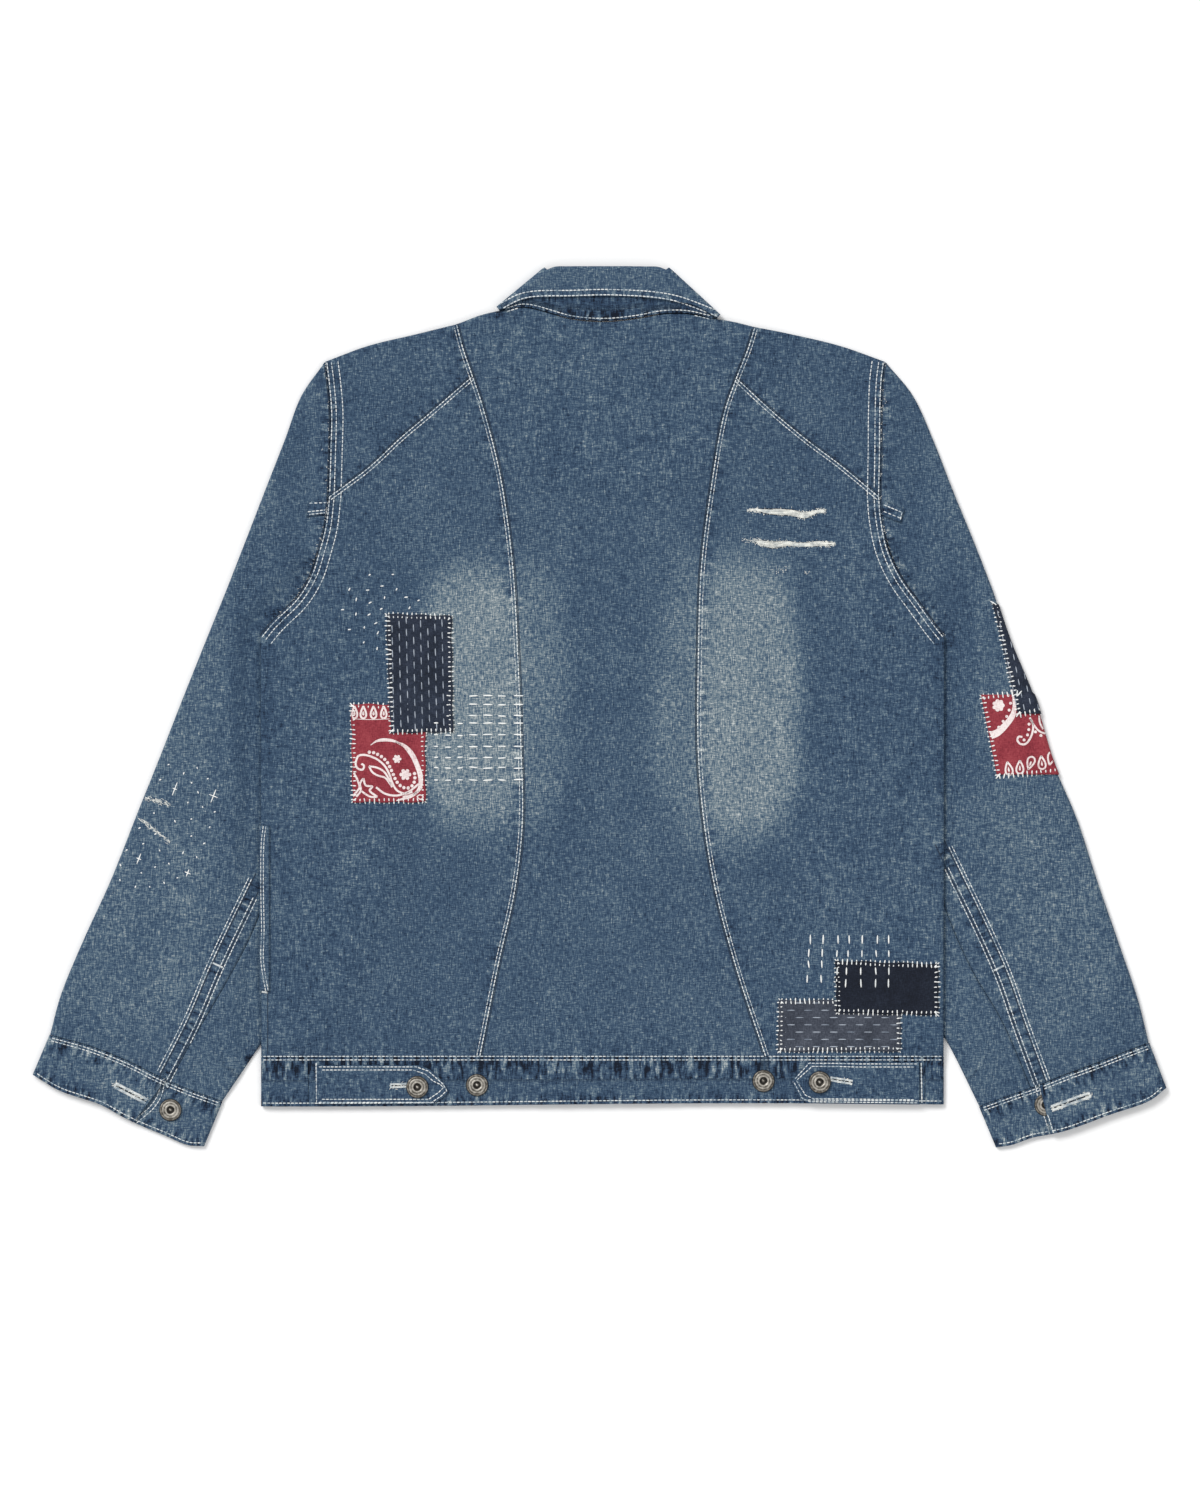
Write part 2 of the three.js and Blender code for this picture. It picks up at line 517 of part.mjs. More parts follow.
  // The upper piece goes from the back seam round the outer fold and on to the front seam below.
  // The under piece closes the ring round the inner fold.
  const upperPlaces = (row) => {
    const edge = FOLD_RADIUS / row.width;
    return [
      ...UPPER_SHARES.map((share) => [lerp(edge, row.seam, share), "high", 0]),
      ...foldPoints(row, 0),
      ...[0.2, 0.4, 0.58, 0.74, 0.88, 1].map((share) => [lerp(edge, FRONT_SEAM, share), "low", 0]),
    ];
  };
  const underPlaces = (row) => {
    const edge = 1 - FOLD_RADIUS / row.width;
    return [
      ...flat(FRONT_SEAM, edge, 3, "low").slice(0, -1),
      ...foldPoints(row, 1).reverse(),
      ...flat(edge, row.seam, 4, "high").slice(1),
    ];
  };
  const rings = rows.map((row) =>
    [...upperPlaces(row), ...underPlaces(row).slice(1, -1)].map((place) => ringPoint(row, place)));
  const ringNormals = normalsOf(rings, true).map((row) => row.map((n) => n.multiplyScalar(-sign)));
  const upperCount = upperPlaces(rows[0]).length;
  const count = rings[0].length;
  const piece = (first, last) => {
    const columns = Array.from({ length: last - first + 1 }, (_, i) => (first + i) % count);
    const points = rings.map((row) => columns.map((i) => row[i].clone()));
    const normals = ringNormals.map((row) => columns.map((i) => row[i]));
    trim(points, ["left", "right", "top"]);
    return cloth(facing(points), CLOTH, facing(normals));
  };
  add(`sleeve_upper_${name}`, piece(0, upperCount - 1), DENIM);
  add(`sleeve_under_${name}`, piece(upperCount - 1, count), DENIM);

  // The cuff is one open band. Its lapping end lies on top, and its other end goes in under it.
  const cuffHem = pathOf(side.cuffHem);
  const cuff = [0, 0.5, 1].map((v) => {
    const pointAt = (w) => cuffTop.getPointAt(clamp(w, 0, 1)).lerp(cuffHem.getPointAt(clamp(w, 0, 1)), v);
    const width = pointAt(0).distanceTo(pointAt(1));
    const end = lerp(side.cuffEnd[0], side.cuffEnd[1], v);
    const round = 3 / width;
    const tight = 1.1 / width;
    const ring = [
      ...even(7).map((share) => [lerp(end, round, share), side.cuffHigh]),
      [round * 0.3, lerp(side.cuffHigh, BAND_FRONT_MID, 0.14)],
      [0, lerp(side.cuffHigh, BAND_FRONT_MID, 0.5)],
      [round * 0.3, lerp(side.cuffHigh, BAND_FRONT_MID, 0.86)],
      ...even(8).map((share) => [lerp(round, 1 - tight, share), BAND_FRONT_MID]),
      [1, (BAND_FRONT_MID + CUFF_UNDERLAP) / 2],
      ...even(5).map((share) => [lerp(1 - tight, end - 22 / width, share), CUFF_UNDERLAP]),
    ];
    return ring.map(([w, z]) => pointAt(w).setZ(z));
  });
  add(`cuff_${name}`, cloth(facing(trim(cuff, ["bottom"])), DOUBLE), DENIM);
}

// Waistband: a back piece, and one piece for each side that wraps round the side fold to the front
const hemY = (x) => -332.3 + 1.4 * Math.sin((x + 60) / 120);
const BAND_ROWS = [0, 0.5, 1];
const bandBackZ = (x, y) =>
  BAND_BACK_MID + SLEEVE_LIFT_BACK * sleeveLift(x, y) + 0.9 * closureLift(x, y);
const bandFrontZ = (x, y) => BAND_FRONT_MID + SLEEVE_LIFT * sleeveLift(x, y);
function bandPoint(x, share, height) {
  const y = lerp(hemY(x), WAIST_Y - SEAM_GAP / 2, share);
  return v3(x, y, height(x, y));
}
{
  const from = SIDES.left.bandSeamX + SEAM_GAP;
  const to = SIDES.right.bandSeamX - SEAM_GAP;
  const grid = BAND_ROWS.map((share) => even(16).map((t) => bandPoint(lerp(from, to, t), share, bandBackZ)));
  add("waistband_back", cloth(grid, DOUBLE), DENIM);
}
for (const [name, side] of Object.entries(SIDES)) {
  const { sign, sideX, bandSeamX } = side;
  const foldX = sign * (sideX - 0.4);
  const flatX = foldX - sign * FOLD_RADIUS;
  const endX = CENTRE_X - sign * FRONT_OVERLAP;
  const middle = (x, y) => (bandBackZ(x, y) + bandFrontZ(x, y)) / 2;
  const turning = (height) => (x, y) => lerp(middle(x, y), height(x, y), turn(TURN_STEP));
  const front = (x, y) =>
    bandFrontZ(x, y) + (sign > 0 ? CLOSURE_STEP * (1 - smooth(28, 60, x)) : 0);
  const grid = BAND_ROWS.map((share) => [
    ...even(3).map((t) => bandPoint(lerp(bandSeamX, flatX, t), share, bandBackZ)),
    bandPoint(foldX - sign * TURN_STEP, share, turning(bandBackZ)),
    bandPoint(foldX, share, middle),
    bandPoint(foldX - sign * TURN_STEP, share, turning(bandFrontZ)),
    ...even(12).map((t) => bandPoint(lerp(flatX, endX, t), share, front)),
  ]);
  add(`waistband_${name}`, cloth(sign > 0 ? grid : mirrored(grid), DOUBLE), DENIM);
}

// Collar: the stand is sewn to the neck, and the leaf is turned down over it at the roll line.
// Both go from the left front round the neck to the right front. Each station gives the two ends of
// a line across the collar.
const COLLAR_FRONT_Z = FRONT_MID + COLLAR_LIFT;
const COLLAR_BACK_Z = BACK_MID + COLLAR_LIFT_BACK;
const LEAF_FRONT_Z = DOUBLE / 2;
const LEAF_BACK_Z = COLLAR_BACK_Z + STAND / 2 + 0.3 + DOUBLE / 2;
const HALF_TURN = [-90, -50, 0, 50, 90].map(degToRad);

// Where the collar is folded from front to back it goes round in a half turn.
function crease([inner, outer], lowZ, highZ, reach) {
  const along = v3(outer[0] - inner[0], outer[1] - inner[1], 0).normalize();
  const side = inner[0] < CENTRE_X ? -1 : 1;
  return HALF_TURN.map((angle) => {
    const z = (lowZ + highZ) / 2 + (highZ - lowZ) / 2 * Math.sin(angle);
    const pushX = side * Math.abs(along.y) * reach * Math.cos(angle);
    const pushY = Math.abs(along.x) * reach * Math.cos(angle);
    return [inner, outer].map(([x, y]) => [x + pushX, y + pushY, z]);
  });
}
const raised = (stations, z) => stations.map((station) => station.map(([x, y]) => [x, y, z]));
const paired = (inner, outer) => inner.map((p, i) => [p, outer[i]]);
const collarGrid = (stations, shares) =>
  shares.map((share) => stations.map(([inner, outer]) => v3(...inner).lerp(v3(...outer), share)));

{
  // The stand, from the neck seam to the roll line
  const rollLeft = [[-39, 345], [-35, 322], [-28, 300], [-17, 282.5], [-3, 273.5]];
  const rollRight = [[52, 344], [48, 320], [42, 299], [31.5, 282.5], [16, 273.5]];
  // The neck end is set in from the fronts' own neck points.
  const fromNeck = (side, roll) => roll.map((end, i) => {
    const { x, y } = side.neckPoints[i + 1];
    const share = (SEAM_GAP + 0.2) / Math.hypot(end[0] - x, end[1] - y);
    return [[lerp(x, end[0], share), lerp(y, end[1], share)], end];
  });
  const neckBack = [[-73, 336.3], [-62.6, 337], [-43, 332.4], [-22.7, 327.1], [5, 325.2], [31.5, 327.9],
    [52.4, 331.6], [71.9, 331.9], [86, 329.9]];
  const rollBack = [[-43.5, 368], [-38, 368.2], [-29, 368.4], [-17, 368.5], [5, 368.6], [28, 368.5], [39, 368.4],
    [48, 368.2], [54.5, 368]];
  const stations = [
    ...raised(fromNeck(SIDES.left, rollLeft).reverse(), COLLAR_FRONT_Z),
    ...crease([[-80, 334.9], [-44.5, 365.8]], COLLAR_FRONT_Z, COLLAR_BACK_Z, 1.4),
    ...raised(paired(neckBack, rollBack), COLLAR_BACK_Z),
    ...crease([[95, 327.4], [55.5, 365.8]], COLLAR_FRONT_Z, COLLAR_BACK_Z, 1.4).reverse(),
    ...raised(fromNeck(SIDES.right, rollRight), COLLAR_FRONT_Z),
  ];
  add("collar_stand", cloth(collarGrid(stations, [0.012, 0.34, 0.67, 1]), STAND), DENIM);
}
{
  // The leaf, from the roll line to its edge. Its first row turns down over the top of the stand.
  const rollLeft = [[-3, 276], [-16, 284.5], [-30, 306], [-39, 340]];
  const edgeLeft = [[-70, 236], [-77, 256], [-83, 290], [-86, 318]];
  const rollRight = [[52, 338], [44, 305], [31, 285], [16, 276]];
  const edgeRight = [[99.5, 312], [96, 285], [92, 254], [86, 236]];
  const rollBack = [[-37, 370.3], [-28, 370.5], [-14, 370.6], [5, 370.6], [24, 370.6], [38, 370.4], [48, 370.2]];
  const edgeBack = [[-63, 344], [-43, 345.6], [-22.7, 346], [13.4, 346.6], [38.6, 345], [59.6, 342.4],
    [80.6, 338.3]];
  const stations = [
    ...raised(paired(rollLeft, edgeLeft), LEAF_FRONT_Z),
    ...crease([[-45, 367.8], [-84.6, 335]], LEAF_FRONT_Z, LEAF_BACK_Z, 2.6),
    ...raised(paired(rollBack, edgeBack), LEAF_BACK_Z),
    ...crease([[56, 367.8], [98.6, 328.6]], LEAF_FRONT_Z, LEAF_BACK_Z, 2.6).reverse(),
    ...raised(paired(rollRight, edgeRight), LEAF_FRONT_Z),
  ];
  // The rows are laid from the edge up, so that the leaf's outer face points out.
  const flatRows = collarGrid(stations, [1, 0.68, 0.35, 0.06, 0]);
  const outward = normalsOf(flatRows).at(-1);
  const tucked = flatRows.at(-1).map((p, i) => p.clone().addScaledVector(outward[i], -1.05));
  add("collar_leaf", cloth([...flatRows, tucked], DOUBLE), DENIM);
}

// What lies on a panel is set down on its faces: a ray finds them, and the point is moved out.
jacket.updateMatrixWorld(true);
const ray = new THREE.Raycaster();
const FAR = 900;
function faceOf(names, target, outward) {
  ray.set(target.clone().addScaledVector(outward, FAR), outward.clone().negate());
  const [hit] = ray.intersectObjects(names.map((name) => jacket.getObjectByName(name)), false);
  return hit ? FAR - hit.distance : -Infinity;
}

// The point above a target that clears every face within a small reach of it
function layOn(names, target, outward, clearance, reach) {
  const sideways = outward.z > 0.99 ? [-reach, 0, reach] : [0];
  const heights = sideways.flatMap((dx) => [-reach, 0, reach].map((dy) =>
    faceOf(names, v3(target.x + dx, target.y + dy, target.z), outward)));
  return target.clone().addScaledVector(outward, Math.max(...heights) + clearance);
}
const UP = v3(0, 0, 1);

// A four-cornered patch. Its corners run bottom left, bottom right, top right, top left.
function patch(name, corners, names, material, across = 8, up = 8) {
  const [bottomLeft, bottomRight, topRight, topLeft] = corners;
  const grid = fill(lineOf(bottomLeft, topLeft, even(up)), lineOf(bottomRight, topRight, even(up)),
    lineOf(bottomLeft, bottomRight, even(across)), lineOf(topLeft, topRight, even(across)));
  const reach = 1.1 * Math.max(Math.abs(bottomRight[0] - bottomLeft[0]) / across,
    Math.abs(topLeft[1] - bottomLeft[1]) / up);
  const points = grid.map((row) => row.map(({ x, y }) =>
    layOn(names, v3(x, y, 0), UP, LAY_GAP + PATCH / 2, names.length > 1 ? reach : 0.5)));
  add(name, cloth(points, PATCH), material);
}
patch("patch_red_left", [[-207.5, -78.1], [-146.6, -78.1], [-147, 3.4], [-208.7, 4.2]],
  ["back_side_left"], RED, 6, 6);
patch("patch_indigo_left", [[-175.6, -20.2], [-123.5, -19.3], [-124.7, 78.1], [-179.3, 79.8]],
  ["back_side_left", "patch_red_left"], INDIGO, 6, 10);
patch("patch_grey_right", [[149.5, -287.4], [252, -287], [252, -244.5], [150.4, -244.5]],
  ["back_side_right"], GREY, 8, 4);
patch("patch_black_right", [[198.7, -254.8], [283.8, -256.7], [283.8, -214.2], [197.7, -211.3]],
  ["back_side_right", "patch_grey_right"], BLACK, 9, 5);

// Cloth that goes round a fold. Each row starts at innerX and ends round the fold of the named pieces.
function wrapped({ name, ys, innerX, names, material, thickness, sign, flatSteps, angles, probeZ, middleZ, reach }) {
  const grid = ys.map((y) => {
    const edgeX = sign * faceOf(names, v3(0, y, probeZ), v3(sign, 0, 0));
    const centre = v3(edgeX - sign * (FOLD_RADIUS + CLOTH / 2 + 0.1), y, middleZ);
    const clearance = LAY_GAP + thickness / 2;
    const from = innerX(y);
    const flatPart = even(flatSteps).slice(0, -1).map((share) =>
      layOn(names, v3(lerp(from, centre.x, share), y, 0), UP, clearance, reach));
    const bent = angles.map((angle) => {
      const outward = v3(sign * Math.cos(degToRad(angle)), 0, Math.sin(degToRad(angle)));
      return layOn(names, centre, outward, clearance + 0.2, reach);
    });
    return [...flatPart, ...bent];
  });
  add(name, cloth(sign > 0 ? grid : mirrored(grid), thickness), material);
}
const lineX = ([x0, y0], [x1, y1]) => (y) => lerp(x0, x1, (y - y0) / (y1 - y0));
const spaced = (from, to, steps) => even(steps).map((share) => lerp(from, to, share));

wrapped({ name: "patch_red_sleeve", ys: spaced(-55, 12, 8), innerX: lineX([320, 10.9], [333.5, -57.5]),
  names: ["sleeve_upper_right"], material: RED, thickness: PATCH, sign: 1, flatSteps: 4,
  angles: [90, 62, 38, 14, -10], probeZ: 3, middleZ: 3, reach: 0.4 });
wrapped({ name: "patch_dark_sleeve", ys: spaced(-4, 88, 12), innerX: lineX([329.7, 90.3], [351, -5.9]),
  names: ["sleeve_upper_right", "patch_red_sleeve"], material: INDIGO, thickness: PATCH, sign: 1, flatSteps: 2,
  angles: [90, 62, 38, 14, -10], probeZ: 3, middleZ: 3, reach: 8 });
wrapped({ name: "pocket_welt_left", ys: spaced(-237, -98, 8), innerX: () => -280.4,
  names: ["back_side_left", "front_left"], material: DENIM, thickness: WELT, sign: -1, flatSteps: 1,
  angles: [80, 55, 32, 14, -14], probeZ: 6.4, middleZ: 5.78, reach: 0.2 });

// Waist tabs
for (const [name, side] of Object.entries(SIDES)) {
  const bevel = 0.35;
  const shape = new THREE.Shape(side.tab.map(([x, y]) => new THREE.Vector2(x, y)));
  const geometry = new THREE.ExtrudeGeometry(shape, { depth: TAB - 2 * bevel, bevelThickness: bevel,
    bevelSize: bevel, bevelOffset: -bevel, bevelSegments: 1, steps: 1 });
  const heights = side.tab.map(([x, y]) => faceOf(["waistband_back"], v3(x, y, 0), UP));
  geometry.translate(0, 0, Math.max(...heights.filter(Number.isFinite)) + LAY_GAP + bevel);
  geometry.deleteAttribute("normal");
  geometry.deleteAttribute("uv");
  add(`waist_tab_${name}`, geometry, DENIM);
}

// Metal shank buttons: a dished disc with a raised rim and a raised middle
const BUTTON_RADIUS = 9.3;
const BUTTON_PROFILE = [[0, 0], [8.3, 0], [BUTTON_RADIUS, 0.7], [9.1, 1.6], [8.1, 2], [6.9, 1.5], [3.4, 1.2],
  [2.5, 1.9], [0, 2.1]];
jacket.updateMatrixWorld(true);
function button(name, [x, y], z, height = 1) {
  const profile = BUTTON_PROFILE.map(([radius, level]) => new THREE.Vector2(radius, level * height));
  const geometry = new THREE.LatheGeometry(profile, 16);
  geometry.rotateX(Math.PI / 2);
  geometry.translate(x, y, z);
  geometry.deleteAttribute("normal");
  geometry.deleteAttribute("uv");
  add(name, geometry, METAL);
}
const topOf = (name, [x, y]) => layOn([name], v3(x, y, 0), UP, LAY_GAP / 2, 6).z;
for (const [name, side] of Object.entries(SIDES)) {
  const [onTab, onBand] = side.waistButtons;
  button(`waist_button_tab_${name}`, onTab, topOf(`waist_tab_${name}`, onTab));
  button(`waist_button_band_${name}`, onBand, topOf("waistband_back", onBand));
}
// The left cuff's button shows on its under end. The right cuff's lapping end lies over its button.
const onUnderEnd = CUFF_UNDERLAP + DOUBLE / 2 + LAY_GAP / 2;
button("cuff_button_left", SIDES.left.cuffButton.at, onUnderEnd, SIDES.left.cuffButton.height);
button("cuff_button_right", SIDES.right.cuffButton.at, onUnderEnd, SIDES.right.cuffButton.height);

// The middle of the part's plan is put at the origin.
for (const mesh of jacket.children) mesh.geometry.translate(...CENTRING);

export default jacket;
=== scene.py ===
# A patched denim work jacket, laid flat on its front with its back up.
# Plans are in millimetres, +Y to the collar and +X to the right of the back view; meshes are in metres.
import math

import bmesh
import bpy
import numpy as np
from mathutils import Matrix, Vector
from mathutils.bvhtree import BVHTree
from mathutils.kdtree import KDTree


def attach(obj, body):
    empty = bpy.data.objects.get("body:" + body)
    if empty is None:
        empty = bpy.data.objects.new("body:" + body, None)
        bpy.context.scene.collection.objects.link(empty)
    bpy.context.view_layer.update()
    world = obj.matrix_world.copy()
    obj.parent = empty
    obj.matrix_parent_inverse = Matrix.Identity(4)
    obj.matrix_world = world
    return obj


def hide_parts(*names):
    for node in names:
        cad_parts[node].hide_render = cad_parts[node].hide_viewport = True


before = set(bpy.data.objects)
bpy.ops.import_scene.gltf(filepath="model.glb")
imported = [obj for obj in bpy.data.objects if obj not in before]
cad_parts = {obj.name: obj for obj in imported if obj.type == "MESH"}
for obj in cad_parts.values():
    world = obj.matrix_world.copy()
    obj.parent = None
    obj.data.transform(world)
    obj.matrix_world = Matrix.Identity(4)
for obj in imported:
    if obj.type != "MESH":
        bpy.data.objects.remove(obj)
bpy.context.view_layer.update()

# Back middle panel
# One piece of denim from the waistband to the neck, between the two long princess seams. It is a thin
# wall on the solid's own form, and carries long soft waves and the wash fade's inner halves.
MM = 0.001
CENTRING = np.array([0.4, -1.66, 0.0])  # from the outlines' origin to the row's
CLOTH = 1.2  # thickness of one layer
SEAM_GAP = 0.36  # between sewn pieces
FRONT_MID = 0.6  # heights of the middle of the layers above the floor
BACK_MID = 5.1
SLEEVE_LIFTS = (3.75, 2.1)  # how far a sleeve under the body lifts its front and its back
COLLAR_LIFTS = (2.5, 1.7)
CLOSURE_LIFT = 0.9
FOLD_RADIUS = 2.6  # how far in from a folded edge the cloth starts to turn
WAIST_Y = -292.0
HEM_Y = -332.4
CENTRE_X = 4.0
UNDERARM_Y = 61.0
LEAF_EDGE = [(-84, 334), (-63, 344), (-22.7, 346), (13.4, 346.6), (59.6, 342.4), (98.6, 328.6)]

# The two sides' outlines. The left side is at -X, and x values are those of the real place.
SIDES = {
    "left": dict(
        sign=-1, side_x=284, band_seam_x=-245,
        armhole=[(-284.6, 61), (-277, 70.5), (-269.6, 78.1), (-254.2, 93.4), (-242.6, 112.7),
                 (-235.9, 133.9), (-231, 153.2), (-228.1, 178.2)],
        armhole_top=[(-228.1, 178.2), (-227, 215), (-226.4, 250), (-228.5, 275), (-230.5, 291)],
        princess_low=[(-100, -292), (-84.6, -215.4), (-70.3, -150.4), (-64.2, -95), (-65.5, -26),
                      (-68.1, 47.1), (-72.9, 126.2), (-83.5, 199.5), (-98, 255.4), (-106.5, 280.5)],
        princess_top=[(-106.5, 280.5), (-114.4, 303.7), (-119.3, 322.6)],
        diagonal=[(-228.1, 178.2), (-194.4, 203.3), (-167.4, 228.5), (-142.4, 249.6), (-106.5, 280.5)],
        shoulder_out=[(-230.5, 291), (-194.9, 304.2), (-154.6, 314), (-119.3, 322.6)],
        shoulder_in=[(-119.3, 322.6), (-100, 330), (-81, 334.5)],
        neck_front=[(-81, 334.5), (-77, 312), (-61, 282), (-32, 259), (19, 250)],
        outer_cap=[(-230.5, 291), (-250, 263), (-264, 226), (-280, 185), (-297, 141), (-313, 100)],
        tuck_y=120,  # below this the sleeve has gone in under the body
        hidden=[(-245, 98), (-248, 78), (-249, 58)],
        inner_cap=[(-249, 58), (-253, 46), (-258, 34)],
        outer_fold=[(-313, 100), (-330, 58), (-350, 8), (-370, -43), (-390, -93), (-410, -143.6),
                    (-433, -194), (-452, -240), (-461.2, -273.8)],
        inner_fold=[(-258, 34), (-255, 8), (-245, -30), (-226, -75), (-219, -120), (-226, -165),
                    (-243, -210), (-265, -250), (-290, -288), (-317.9, -329.3)],
        cuff_top=[(-461.2, -273.8), (-428.4, -283), (-397.3, -295.2), (-369.2, -309.1), (-347.8, -318.4),
                  (-317.9, -329.3)],
        cuff_hem=[(-475.4, -307.4), (-454.4, -320), (-418.3, -332.6), (-403.2, -341), (-388, -348.6),
                  (-366, -357.8), (-346, -366.2), (-333.5, -367)],
        back_seam=[(-285, -140), (-320.9, -215), (-342, -264), (-366, -311)],
        cuff_end=(0.675, 0.6), cuff_high=5.75, turn=math.radians(-23),
    ),
    "right": dict(
        sign=1, side_x=288, band_seam_x=273,
        armhole=[(288.8, 61), (281.2, 70.5), (267.8, 89), (252.3, 110.9), (241.8, 133.9), (236.5, 160),
                 (235, 178.2)],
        armhole_top=[(235, 178.2), (235.7, 215), (236, 250), (237, 275), (239, 291)],
        princess_low=[(138.2, -292), (113.2, -216.6), (95.8, -151.1), (86.2, -93.2), (81.5, -34.4),
                      (81.6, 40), (84.2, 118.4), (92.2, 184), (103.8, 249.6), (114, 279)],
        princess_top=[(114, 279), (123.1, 301.7), (128.9, 320.2)],
        diagonal=[(235, 178.2), (202.2, 205.3), (175.2, 225.5), (144.3, 251), (114, 279)],
        shoulder_out=[(239, 291), (201.6, 304.2), (158.8, 314.4), (128.9, 320.2)],
        shoulder_in=[(128.9, 320.2), (112, 324.4), (96, 327)],
        neck_front=[(96, 327), (92, 306), (76, 280), (44, 259), (-11, 250)],
        outer_cap=[(239, 291), (262, 263), (279, 226), (295, 185), (313, 141), (329, 100)],
        tuck_y=136,
        hidden=[(247, 108), (250, 80), (251, 58)],
        inner_cap=[(251, 58), (255, 46), (260, 34)],
        outer_fold=[(329, 100), (343, 58), (363.5, 8), (379, -43), (400, -93), (416.6, -143.6),
                    (434, -194), (451, -244), (460.2, -280.6)],
        inner_fold=[(260, 34), (257, 8), (249, -30), (231, -75), (224, -120), (231, -165), (246, -205),
                    (266, -243), (290, -276), (319.2, -333.5)],
        cuff_top=[(460.2, -280.6), (438, -289), (415, -298), (392, -306.5), (368.6, -315.8),
                  (341, -325.6), (319.2, -333.5)],
        cuff_hem=[(474.6, -318.4), (462, -328.4), (426.7, -341), (392.3, -353.6), (376.3, -357.4),
                  (362.9, -360), (345.2, -366.2), (333.5, -367.9)],
        back_seam=[(285, -112), (334.8, -217.6), (353, -268), (370, -314)],
        cuff_end=(0.65, 0.69), cuff_high=6.5, turn=math.radians(21),
    ),
}


def curve(points, steps=24):
    """A centripetal Catmull-Rom curve through points, as a dense line with steps points a segment."""
    p = np.array(points, float)
    p = np.vstack([2 * p[0] - p[1], p, 2 * p[-1] - p[-2]])
    gap = np.linalg.norm(np.diff(p, axis=0), axis=1) ** 0.5
    t = (np.arange(steps) / steps)[:, None]
    runs = []
    for i in range(1, len(p) - 2):
        a, b, c = gap[i - 1:i + 2]
        leave = ((p[i] - p[i - 1]) / a - (p[i + 1] - p[i - 1]) / (a + b) + (p[i + 1] - p[i]) / b) * b
        reach = ((p[i + 1] - p[i]) / b - (p[i + 2] - p[i]) / (b + c) + (p[i + 2] - p[i + 1]) / c) * b
        step = p[i + 1] - p[i]
        bend = t**2 * (3 * step - 2 * leave - reach) + t**3 * (leave + reach - 2 * step)
        runs.append(p[i] + t * leave + bend)
    return np.vstack(runs + [p[-2:-1]])


def at(line, shares):
    """Points at shares of a dense line's length."""
    reach = np.concatenate([[0], np.cumsum(np.linalg.norm(np.diff(line, axis=0), axis=1))])
    place = np.asarray(shares) * reach[-1]
    return np.stack([np.interp(place, reach, line[:, k]) for k in range(line.shape[1])], -1)


def level_line(start, end, count, y):
    return np.stack([np.linspace(start, end, count), np.full(count, y)], -1)


def length_of(line):
    return np.linalg.norm(np.diff(line, axis=0), axis=1).sum()


def even(steps):
    return np.linspace(0, 1, steps + 1)


def smooth(start, end, value):
    t = np.clip((value - start) / (end - start), 0, 1)
    return t * t * (3 - 2 * t)


for side in SIDES.values():
    for key, line in side.items():
        if isinstance(line, list) and key != "hidden":
            side[key] = curve(line)
    side["princess"] = np.vstack([side["princess_low"], side["princess_top"]])
    side["whole_armhole"] = np.vstack([side["armhole"], side["armhole_top"]])
    fold = sorted((y, abs(x)) for x, y in side["inner_fold"])
    fold += [(UNDERARM_Y, side["side_x"] - 30), (side["tuck_y"] + 1, side["side_x"] - 40),
             (side["tuck_y"] + 20, side["side_x"] + 61)]
    side["fold_table"] = np.array(fold)


def sleeve_lift(x, y):
    """How far a sleeve under the body lifts it at a point: 0 not at all, 1 fully."""
    edge = np.where(x < CENTRE_X, *(np.interp(y, *side["fold_table"].T) for side in SIDES.values()))
    return smooth(edge - 66, edge - 30, np.abs(x)) * smooth(-303, -280, y)


def collar_lift(x, y):
    return 1 - smooth(1.15, 1.5, np.hypot((x - 8) / 112, (y - 300) / 90))


def closure_lift(x, y):
    return (1 - smooth(34, 80, np.abs(x - CENTRE_X))) * (1 - smooth(-285, -235, y))


# Soft ridges and troughs on the back and the sleeves, each with its ends, its half width and its height
CREASES = [
    ((-250, -150), (-262, -40), 9, -0.7), ((-236, -215), (-254, -110), 8, 0.6),
    ((-215, 40), (-262, 60), 9, -0.7), ((-190, 66), (-246, 90), 9, 0.6),
    ((262, -150), (270, -20), 9, -0.7), ((240, -160), (252, -70), 9, 0.6),
    ((226, 20), (268, 52), 9, -0.7), ((206, 50), (252, 84), 9, 0.6), ((-225, 130), (-196, 60), 8, -0.7),
    ((228, 120), (200, 52), 8, -0.6), ((-168, 172), (-208, 190), 7, -0.5),
    ((170, 180), (214, 196), 7, -0.5), ((-246, 240), (-252, 150), 7, -1.0),
    ((-262, 130), (-290, 60), 9, -0.8), ((-300, 40), (-340, -30), 10, 0.7),
    ((-283, 20), (-300, -60), 9, -0.8), ((-352, -96), (-400, -104), 7, -0.6),
    ((-326, -70), (-366, -60), 8, 0.6), ((-300, -130), (-330, -200), 9, -0.7),
    ((-420, -210), (-350, -232), 8, -0.6), ((-392, -160), (-330, -178), 8, 0.5),
    ((-440, -262), (-400, -230), 7, -0.6), ((256, 240), (262, 150), 7, -1.0),
    ((272, 130), (300, 60), 9, -0.8), ((306, 20), (352, -40), 10, 0.7), ((292, 10), (318, -70), 9, -0.8),
    ((330, -120), (402, -150), 9, -0.6), ((318, -180), (420, -200), 8, 0.5),
    ((420, -262), (380, -226), 7, -0.6), ((340, -80), (384, -74), 8, 0.5),
]


def creases(x, y):
    total = np.zeros(np.shape(x))
    for (x0, y0), (x1, y1), width, height in CREASES:
        run = math.hypot(x1 - x0, y1 - y0)
        along = ((x - x0) * (x1 - x0) + (y - y0) * (y1 - y0)) / run**2
        off = ((x - x0) * (y1 - y0) - (y - y0) * (x1 - x0)) / run
        off = off + 0.06 * run * np.sin(math.pi * along)
        total += height * np.exp(-(off / width) ** 2) * np.exp(-(((along - 0.5) / 0.42) ** 4))
    return total


